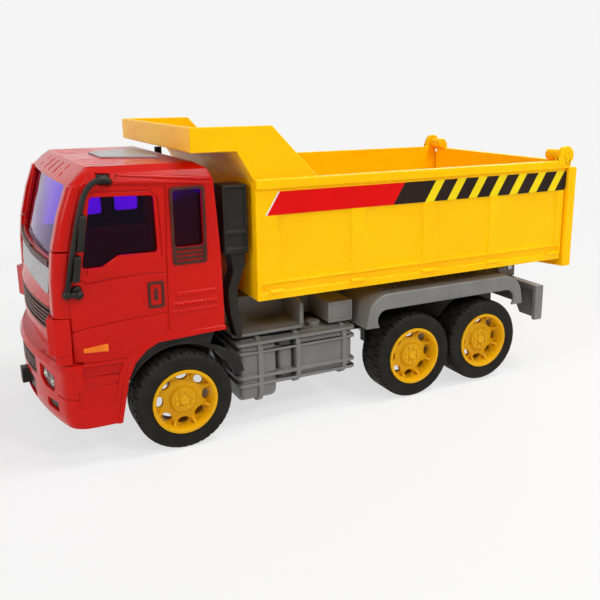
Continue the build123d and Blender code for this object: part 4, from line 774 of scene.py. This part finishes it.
@dataclass
class Mirror:
    """One door mirror: two upright housings beside a bent arm that stands on a foot. Sizes in mm.

    Places are (x, behind the front axle, height) on the left side.
    """

    side_name: str
    side: float
    arm_radius: float = 1.15
    arm_path: tuple[Triple, ...] = (
        (53.0, -25.0, 118.4), (57.2, -25.1, 118.6), (59.2, -26.5, 119.4), (59.7, -28.6, 119.9),
        (59.7, -30.8, 119.4), (59.7, -32.9, 118.0), (59.7, -34.8, 115.7), (59.7, -36.2, 112.7),
        (59.7, -37.1, 109.7), (59.7, -37.9, 106.8), (59.6, -39.0, 102.6), (59.6, -40.2, 97.4),
        (59.6, -41.5, 91.7), (59.4, -42.7, 86.3), (59.2, -43.7, 81.4), (58.9, -44.6, 76.6))
    housing_x: float = 60.1
    housing_half: Pair = (1.9, 1.35)
    # foot and head of each housing's middle line, as (behind the front axle, height)
    housings: tuple[tuple[float, float, float, float], ...] = (
        (-41.4, 80.8, -39.8, 90.9), (-38.8, 92.6, -36.7, 106.7))
    foot_x: float = 58.7
    foot_front: Pair = (-44.8, 75.6)
    foot_rear: Pair = (-40.4, 75.0)
    foot_ball: float = 1.9          # radius
    foot_bar: float = 1.25          # radius
    plug_x: float = 57.2
    plug: Pair = (-41.0, 76.4)
    plug_reach: tuple[float, ...] = (1.9, 1.9, 1.6, 1.0)
    plug_rise: tuple[float, ...] = (-2.2, 0.9, 1.25, 1.4)

    def build(self) -> list[Object]:
        """Build the mirror on its side.

        Returns:
            The mirror and its foot.
        """
        arm = self._placed(np.array(self.arm_path))
        mirror = joined(tube(arm, self.arm_radius), *(self._housing(*spot) for spot in self.housings))
        body = mesh_piece(f"mirror_{self.side_name}_curved", mirror, BLACK_PLASTIC, "truck", crisp=50.0)
        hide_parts(f"mirror_{self.side_name}")
        foot = mesh_piece(f"mirror_foot_{self.side_name}", self._foot(), BLACK_PLASTIC, "truck",
                          crisp=40.0)
        return [body, foot]

    def _placed(self, spots: np.ndarray) -> np.ndarray:
        """Carry places from the left side's measures to this side of the frame."""
        return spots * (self.side, 1.0, 1.0) + (0.0, FRONT_AXLE_Y, 0.0)

    def _housing(self, y_low: float, z_low: float, y_high: float, z_high: float) -> Surface:
        """One upright housing as a rounded box that leans.

        At height t its outline is |x / hx|^6 + |y / hy|^6 = 1, shrunk near both ends, about a
        middle line that runs straight from foot to head.

        Args:
            y_low: the middle line's foot, behind the front axle.
            z_low: the foot's height.
            y_high: the middle line's head, behind the front axle.
            z_high: the head's height.

        Returns:
            The housing's (points, quads).
        """
        t = np.array([0.0, 0.0, 0.015, 0.05, 0.25, 0.5, 0.75, 0.95, 0.985, 1.0, 1.0])
        shrink = np.array([0.0, 0.72, 0.9, 1.0, 1.0, 1.0, 1.0, 1.0, 0.9, 0.72, 0.0])
        around, power = 32, 6
        a = np.arange(around) / around * 2 * np.pi
        across = np.sign(np.cos(a)) * np.abs(np.cos(a)) ** (2 / power) * self.housing_half[0]
        back = np.sign(np.sin(a)) * np.abs(np.sin(a)) ** (2 / power) * self.housing_half[1]
        x = self.housing_x + shrink[:, None] * across[None, :]
        y = (y_low + t * (y_high - y_low))[:, None] + shrink[:, None] * back[None, :]
        z = (z_low + t * (z_high - z_low))[:, None]
        return self._placed(places(x, y, z)), grid_quads(t.size, a.size, closed_columns=True)

    def _foot(self) -> Surface:
        """Foot of the arm: a bar with a ball on each end, turned about the bar, and a plug in the cab.

        The profile's distance from the bar is the greater of the two balls' circles and the bar.
        """
        spots = np.array([(self.foot_x, *self.foot_front), (self.foot_x, *self.foot_rear),
                          (self.plug_x, *self.plug)])
        first, last, plug = self._placed(spots)
        span = float(np.linalg.norm(last - first))
        ball = self.foot_ball
        turn = np.linspace(0.0, np.pi, 13)
        rise = np.concatenate([-ball * np.cos(turn), span - ball * np.cos(turn)])
        near = np.minimum(np.abs(rise), np.abs(rise - span))
        reach = np.sqrt(np.clip(ball ** 2 - near ** 2, 0.0, None))
        reach = np.where(between(rise, 0.0, span), np.maximum(reach, self.foot_bar), reach)
        bar = turned(first[None, :], tuple(last - first), reach, rise, around=18)
        cap = turned(plug[None, :], (self.side, 0.0, 0.0), np.array(self.plug_reach),
                     np.array(self.plug_rise), around=18)
        return joined(bar, cap)


@dataclass
class Cab:
    """The red cab with its glazing, grilles, lamps, trims, mirrors and stacks. Sizes in mm."""

    dressings: tuple[Dressing, ...] = (
        Dressing("cab_shell", CAB_RED, 0.30),
        Dressing("cab_glazing", GLAZING, 0.15),
        Dressing("badge_panel", BADGE_GREY, 0.25),
        Dressing("wiper_cowl", TRIM_BROWN, 0.2),
        Dressing("upper_grille", TRIM_BROWN, 0.12),
        Dressing("lower_grille", TRIM_BROWN, 0.12),
        Dressing("headlamps", LAMP_SILVER, 0.2),
        Dressing("fog_lamps", LAMP_DARK, 0.15),
        Dressing("plate_recess", BLACK_PLASTIC, 0.2),
        Dressing("window_trims", TRIM_BROWN, 0.12),
        Dressing("door_handles", TRIM_BROWN, 0.12),
        Dressing("marker_lamps", LAMP_ORANGE, 0.1),
        Dressing("roof_panel", BADGE_GREY, 0.2),
        Dressing("intake_stack", BLACK_PLASTIC, 0.6),
        Dressing("exhaust_stack", BLACK_PLASTIC, 0.3),
    )
    bulb_spots: tuple[Pair, ...] = ((40.6, 34.2), (34.2, 36.2))     # x, z
    bulb_reach: tuple[float, ...] = (1.8, 1.8, 1.66, 1.48, 1.17, 1.0, 0.94, 0.72, 0.4, 0.0)
    bulb_rise: tuple[float, ...] = (-0.5, 0.35, 0.45, 0.35, 0.05, 0.05, 0.5, 0.85, 1.02, 1.08)
    bulb_turn: float = 0.25         # how far the bulbs look outward, as x to y
    dot_first: float = -0.4         # behind the front axle
    dot_pitch: float = 1.72
    dots: int = 10
    dot_radius: float = 0.62
    dot_height: float = 0.42
    dot_tip: float = 0.01           # radius of the flat at a dome's top
    rib_x: float = 57.5
    rib_z: float = 65.15
    bracket_y: Pair = (-29.7, -24.6)
    bracket_z: Pair = (117.2, 121.4)
    bracket_probe: float = 0.8      # behind the bracket's front, where the notch's floor is felt
    bracket_thickness: float = 0.85
    bracket_dip: float = 0.1        # how far its rim lies in the floor

    def build(self, packed: Packed) -> list[Object]:
        """Build the cab's pieces.

        Args:
            packed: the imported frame.

        Returns:
            The cab's pieces.
        """
        pieces = [packed.dress(dressing) for dressing in self.dressings]
        for side_name, side in SIDES:
            pieces.append(self._bulbs(packed, side_name, side))
            pieces.append(self._rib_dots(side_name, side))
            pieces.extend(Mirror(side_name, side).build())
            pieces.append(self._arm_bracket(packed, side_name, side))
            pieces.append(ArchFlange(side_name, side).build())
        return pieces

    def _bulbs(self, packed: Packed, side_name: str, side: float) -> Object:
        """Headlamp bulbs in their cups, one turned profile set on the lamp's face at each spot."""
        spots = [packed.reach("headlamps", (side * x, AHEAD, z), (0.0, 1.0, 0.0))
                 for x, z in self.bulb_spots]
        bulbs = turned(np.array(spots), (side * self.bulb_turn, -1.0, 0.0),
                       np.array(self.bulb_reach), np.array(self.bulb_rise), around=20)
        return mesh_piece(f"lamp_bulbs_{side_name}", bulbs, BULB_SILVER, "truck", crisp=40.0)

    def _rib_dots(self, side_name: str, side: float) -> Object:
        """Row of small domes along the middle rib behind the door."""
        y = at(self.dot_first) + self.dot_pitch * np.arange(self.dots)
        centres = places(side * self.rib_x, y, self.rib_z)
        a = np.linspace(0.0, np.pi / 2, 5)
        reach = np.concatenate([[self.dot_radius], self.dot_radius * np.cos(a) + self.dot_tip])
        rise = np.concatenate([[-0.3], self.dot_height * np.sin(a)])
        dots = turned(centres, (side, 0.0, 0.0), reach, rise, around=10)
        return mesh_piece(f"rib_dots_{side_name}", dots, CAB_RED, "truck", crisp=50.0)

    def _arm_bracket(self, packed: Packed, side_name: str, side: float) -> Object:
        """Black bracket in the notch at the mirror arm's root, a pad that follows the notch's floor.

        X is carried over the pad between the floor's places at its lower and upper edge, plus a
        thickness that falls to nothing at the rim as (1 - p^6) * (1 - q^6), p and q from -1 to 1.
        """
        probe = at(self.bracket_y[0] + self.bracket_probe)
        floor = [abs(packed.reach("cab_shell", (side * BESIDE, probe, z), (-side, 0.0, 0.0))[0])
                 for z in self.bracket_z]
        steps = 15
        p, q = np.meshgrid(np.linspace(-1, 1, steps), np.linspace(-1, 1, steps), indexing="ij")
        y = at(0.0) + np.mean(self.bracket_y) + p * (self.bracket_y[1] - self.bracket_y[0]) / 2
        z = np.mean(self.bracket_z) + q * (self.bracket_z[1] - self.bracket_z[0]) / 2
        base = floor[0] + (q + 1) / 2 * (floor[1] - floor[0])
        x = side * (base - self.bracket_dip + self.bracket_thickness * (1 - p ** 6) * (1 - q ** 6))
        pad = places(x, y, z), outward(grid_quads(steps, steps), side)
        return mesh_piece(f"arm_bracket_{side_name}", pad, BLACK_PLASTIC, "truck", crisp=50.0,
                          closed=False)


@dataclass
class ArchFlange:
    """Black flange of a front mudguard that closes the wheel arch up to the cab's skin.

    Sizes in mm. Angles are about the front axle in radians, from straight back over the top.
    """

    side_name: str
    side: float
    outline: tuple[Pair, ...] = (        # the arch in the skin, behind the axle and up
        (-26.8, 12.0), (-26.8, 17.0), (-22.9, 35.8), (-19.7, 42.6), (-14.8, 47.4), (-9.7, 49.9),
        (16.8, 51.0), (25.0, 51.0))
    inner_radius: float = 25.4
    inner_x: float = 53.6
    outer_x: float = 54.6
    span_degrees: Pair = (14.0, 158.0)
    lap: float = 1.3                # how far the flange runs on behind the skin
    least_width: float = 0.6
    flap_end: float = 1.05          # angle where the flap ends and the cab's rear edge begins
    flap_run: float = 0.55          # angle over which the flap swells
    flap_width: float = 0.8
    flap_swell: float = 4.2
    flap_reach: float = 29.6        # the flap's rear end, behind the axle
    flap_cut_end: float = 1.2       # angle up to which that end can cut the flap off
    cab_reach: float = 17.2         # the cab's rear edge, behind the axle
    upright: float = 1.5            # angle from which the skin alone bounds the flange

    def build(self) -> Object:
        """Build the flange between two distances from the axle at each angle.

        The inner distance is the mudguard's. The outer one is the outline's plus the lap, and
        behind the cab it swells into a flap that is cut off straight.

        Returns:
            The flange.
        """
        outline = np.array(self.outline) - (0.0, TYRE_RADIUS)
        run = np.concatenate([[0.0], np.cumsum(np.hypot(*np.diff(outline, axis=0).T))])
        samples, steps = 400, 97
        fine = np.linspace(0.0, run[-1], samples)
        y, z = np.interp(fine, run, outline[:, 0]), np.interp(fine, run, outline[:, 1])
        angle, reach = np.arctan2(z, y), np.hypot(y, z)
        order = np.argsort(angle)
        turn = np.radians(np.linspace(*self.span_degrees, steps))
        skin = np.interp(turn, angle[order], reach[order]) + self.lap
        swell = self.flap_swell * np.clip((self.flap_end - turn) / self.flap_run, 0.0, 1.0)
        flap = self.inner_radius + self.flap_width + swell
        flap = np.minimum(flap, self.flap_reach / np.cos(np.minimum(turn, self.flap_cut_end)))
        cut_off = self.cab_reach / np.cos(np.clip(turn, self.flap_end, self.upright))
        outer = np.where(turn > self.flap_end, np.minimum(skin, cut_off), flap)
        outer = np.where(turn > self.upright, skin, outer)
        near = np.full(turn.size, self.inner_radius)
        far = np.maximum(outer, self.inner_radius + self.least_width)
        reach = np.stack([near, near, far, far], -1)
        across = np.broadcast_to([self.inner_x, self.outer_x, self.outer_x, self.inner_x], reach.shape)
        points = np.stack([self.side * across, at(0.0) + reach * np.cos(turn)[:, None],
                           TYRE_RADIUS + reach * np.sin(turn)[:, None]], -1)
        ends = np.stack([points[0].mean(0, keepdims=True).repeat(4, 0),
                         points[-1].mean(0, keepdims=True).repeat(4, 0)])
        points = np.concatenate([ends[:1], points, ends[1:]]).reshape(-1, 3)
        quads = grid_quads(turn.size + 2, 4, closed_columns=True)
        return mesh_piece(f"arch_flange_{self.side_name}", (points, quads), BLACK_PLASTIC, "truck",
                          crisp=40.0)


@dataclass
class Chassis:
    """Underframe, deck, mudguards, fenders, tanks, lockers, bumper and axles. Sizes in mm."""

    stud_front: float = 104.0
    stud_rear: float = 183.0
    stud_rows: tuple[float, ...] = (41.5, 44.7, 47.9, 51.1)
    stud_pitch: float = 2.4
    stud_length: float = 2.2
    stud_width: float = 1.2
    stud_height: float = 0.5
    stud_inset: tuple[float, ...] = (0.0, 0.15, 0.3, 1.0)       # of its half width, from foot to top
    stud_shoulder: float = 0.8      # of its height
    stud_sunk: float = 0.2
    fender_top: float = 56.6
    dressings: tuple[Dressing, ...] = (
        Dressing("underframe", BLACK_PLASTIC, 0.3),
        *(Dressing(f"front_mudguard_{side_name}", BLACK_PLASTIC, 0.3) for side_name, _ in SIDES),
        Dressing("deck", CHASSIS_GREY, 0.5),
        Dressing("tilt_pin", AXLE_STEEL, 0.15),
        Dressing("side_lockers", CHASSIS_GREY, 0.45),
        *(Dressing(f"rear_fender_{side_name}", CHASSIS_GREY, 0.9) for side_name, _ in SIDES),
        Dressing("rear_bumper", CHASSIS_GREY, 0.3),
        *(Dressing(f"tanks_{side_name}", CHASSIS_GREY, 0.35) for side_name, _ in SIDES),
        *(Dressing(f"{axle}_axle", AXLE_STEEL, 0.2) for axle in ("front", "middle", "rear")),
    )

    def build(self, packed: Packed) -> list[Object]:
        """Build the chassis.

        Args:
            packed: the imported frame.

        Returns:
            The chassis' pieces.
        """
        pieces = [packed.dress(dressing) for dressing in self.dressings]
        pieces.extend(self._studs(side_name, side) for side_name, side in SIDES)
        return pieces

    def _studs(self, side_name: str, side: float) -> Object:
        """Tread plate on a rear fender: rows of small frusta, every other row half a pitch on.

        Each stud is four rings of four corners, from its foot over its shoulder to its top, which
        the last one closes; ring k is the outline shrunk by inset[k] at height rise[k].
        """
        count = int((self.stud_rear - self.stud_front) / self.stud_pitch)
        rows = np.array(self.stud_rows)
        row, number = np.meshgrid(np.arange(rows.size), np.arange(count), indexing="ij")
        middle_x = rows[row].ravel()
        middle_y = (at(self.stud_front) + self.stud_pitch * (number + 0.5 * (row % 2))).ravel()
        inset = np.array(self.stud_inset)
        rise = np.array([-self.stud_sunk, self.stud_height * self.stud_shoulder, self.stud_height,
                         self.stud_height])
        corner = np.array([[-1, -1], [1, -1], [1, 1], [-1, 1]])
        half = np.array([self.stud_length, self.stud_width]) / 2
        shrink = np.clip(half[None, :] - inset[:, None] * half.min(), 0.0, None)
        x = side * (middle_x[:, None, None] + corner[None, None, :, 0] * shrink[None, :, None, 0])
        y = middle_y[:, None, None] + corner[None, None, :, 1] * shrink[None, :, None, 1]
        z = self.fender_top + rise[None, :, None]
        quads = repeated(grid_quads(inset.size, 4, closed_columns=True), middle_x.size)
        return mesh_piece(f"fender_studs_{side_name}", (places(x, y, z), quads), CHASSIS_GREY, "truck",
                          crisp=30.0)


@dataclass(frozen=True)
class SoftBox:
    """One soft studio light: its place and size in metres, its power in watts."""

    name: str
    place: Triple
    size: float
    power: float


@dataclass
class Studio:
    """The pale floor, the lights and the camera. Sizes in metres, angles in degrees."""

    pale: float = 0.913             # tone of the backdrop
    paper: float = 0.86             # tone of the floor where light falls on it
    floor_half: float = 4.0
    floor_glow: float = 0.72        # how far the floor near the truck shows the backdrop's tone
    fade: Pair = (0.16, 0.50)        # from the middle, where it turns into that tone
    aim: Triple = (0.0, 0.0, 0.05)
    lens: float = 44.28
    camera_place: Triple = (0.3515, -0.1655, 0.1531)
    azimuth: float = 62.24
    elevation: float = 13.85
    roll: float = -0.24
    shift: Pair = (-0.0417, -0.047)
    world_light: float = 0.28
    boxes: tuple[SoftBox, ...] = (
        SoftBox("key_light", (1.30, -0.45, 1.20), 0.42, 4.6),
        SoftBox("glint_light", (1.15, 0.45, 1.15), 0.30, 8.3),
        SoftBox("top_light", (0.38, 0.66, 1.62), 0.55, 15.5),
        SoftBox("front_light", (0.40, -1.70, 0.80), 0.8, 12.5),
        SoftBox("rear_light", (-1.10, 1.40, 0.95), 1.1, 7.5),
    )

    def build(self) -> None:
        """Set the stage: floor, world, lights and camera."""
        self._floor()
        self._world()
        for box in self.boxes:
            self._light(box)
        self._camera()
        bpy.context.scene.view_settings.view_transform = "Standard"

    def _floor(self) -> None:
        """A pale floor that keeps the truck's shadow and meets the backdrop's tone."""
        half = self.floor_half
        mesh = bpy.data.meshes.new("floor")
        mesh.from_pydata([(-half, -half, 0), (half, -half, 0), (half, half, 0), (-half, half, 0)], [],
                         [(0, 1, 2, 3)])
        floor = linked("floor", mesh)
        paper = bpy.data.materials.new("floor_paper")
        paper.use_nodes = True
        tree = paper.node_tree
        tree.nodes.clear()
        matt = add_node(tree, "ShaderNodeBsdfDiffuse", {"Color": (*[self.paper] * 3, 1.0)})
        glow = add_node(tree, "ShaderNodeEmission", {"Color": (*[self.pale] * 3, 1.0)})
        place = tree.nodes.new("ShaderNodeTexCoord").outputs["Object"]
        length = add_node(tree, "ShaderNodeVectorMath", {0: place}, operation="LENGTH")
        far = map_range(tree, length.outputs["Value"], self.fade, (0.0, 1.0))
        glowing = math_node(tree, "MAXIMUM", far, self.floor_glow)
        share = math_node(tree, "MULTIPLY", glowing, self._seen(tree))
        self._blend(tree, share, matt, glow, "ShaderNodeOutputMaterial")
        mesh.materials.append(paper)

    @staticmethod
    def _seen(tree: NodeTree) -> NodeSocket:
        """Return 1 where a camera, glossy or transmission ray looks, and 0 for light."""
        path = tree.nodes.new("ShaderNodeLightPath").outputs
        seen = math_node(tree, "MAXIMUM", path["Is Camera Ray"], path["Is Glossy Ray"])
        return math_node(tree, "MAXIMUM", seen, path["Is Transmission Ray"])

    @staticmethod
    def _blend(tree: NodeTree, share: NodeSocket, plain_shader: bpy.types.ShaderNode,
               seen_shader: bpy.types.ShaderNode, out: str) -> None:
        """Show one shader, and as the share rises the other."""
        settings = {"Fac": share, 1: plain_shader.outputs[0], 2: seen_shader.outputs[0]}
        mix = add_node(tree, "ShaderNodeMixShader", settings)
        add_node(tree, out, {"Surface": mix.outputs["Shader"]})

    def _world(self) -> None:
        """Backdrop tone for what is seen, and an even soft light for the rest."""
        world = bpy.data.worlds.new("studio")
        bpy.context.scene.world = world
        world.use_nodes = True
        tree = world.node_tree
        tree.nodes.clear()
        lit = add_node(tree, "ShaderNodeBackground", {"Strength": self.world_light})
        backdrop = add_node(tree, "ShaderNodeBackground", {"Color": (*[self.pale] * 3, 1.0)})
        self._blend(tree, self._seen(tree), lit, backdrop, "ShaderNodeOutputWorld")

    def _light(self, box: SoftBox) -> None:
        """One square area light that looks at the truck."""
        data = bpy.data.lights.new(box.name, "AREA")
        data.energy = box.power
        data.size = box.size
        lamp = linked(box.name, data)
        lamp.location = box.place
        lamp.rotation_euler = (Vector(self.aim) - Vector(box.place)).to_track_quat("-Z", "Y").to_euler()

    def _camera(self) -> None:
        """Camera turned by azimuth, elevation and roll, with a slight shift for the framing."""
        angles = (self.azimuth, self.elevation, self.roll)
        azimuth, elevation, roll = (math.radians(angle) for angle in angles)
        back = Vector((math.sin(azimuth) * math.cos(elevation), -math.cos(azimuth) * math.cos(elevation),
                       math.sin(elevation)))
        right = Vector((0, 0, 1)).cross(back).normalized()
        up = back.cross(right)
        turned_right = math.cos(roll) * right + math.sin(roll) * up
        turned_up = math.cos(roll) * up - math.sin(roll) * right
        data = bpy.data.cameras.new("camera")
        data.lens = self.lens
        data.sensor_width = 36.0
        data.shift_x, data.shift_y = self.shift
        data.clip_start, data.clip_end = 0.01, 20.0
        camera = linked("camera", data)
        axes = Matrix((turned_right, turned_up, back)).transposed()
        camera.matrix_world = Matrix.Translation(self.camera_place) @ axes.to_4x4()
        bpy.context.scene.camera = camera


def main() -> None:
    """Build the truck piece by piece, set the studio, and log each piece's face count."""
    packed = Packed(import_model())
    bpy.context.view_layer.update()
    axles = (("front", 0.0, TYRE_RADIUS), ("middle", WHEELBASE, TYRE_RADIUS),
             ("rear", WHEELBASE + BOGIE_SPACING, TYRE_RADIUS + REAR_AXLE_LIFT))
    tread_step = 0.37       # from one axle's tread to the next one's, in pitches
    wheels = [Wheel(axle, side_name, side, at(y), z, tread_step * number)
              for number, (axle, y, z) in enumerate(axles) for side_name, side in SIDES]
    for part in (Cab(), Bed(), Chassis(), *wheels):
        for piece in part.build(packed):
            log.info("%s: %s, %d faces", type(part).__name__, piece.name, len(piece.data.polygons))
    Studio().build()


if __name__ == "__main__":
    main()
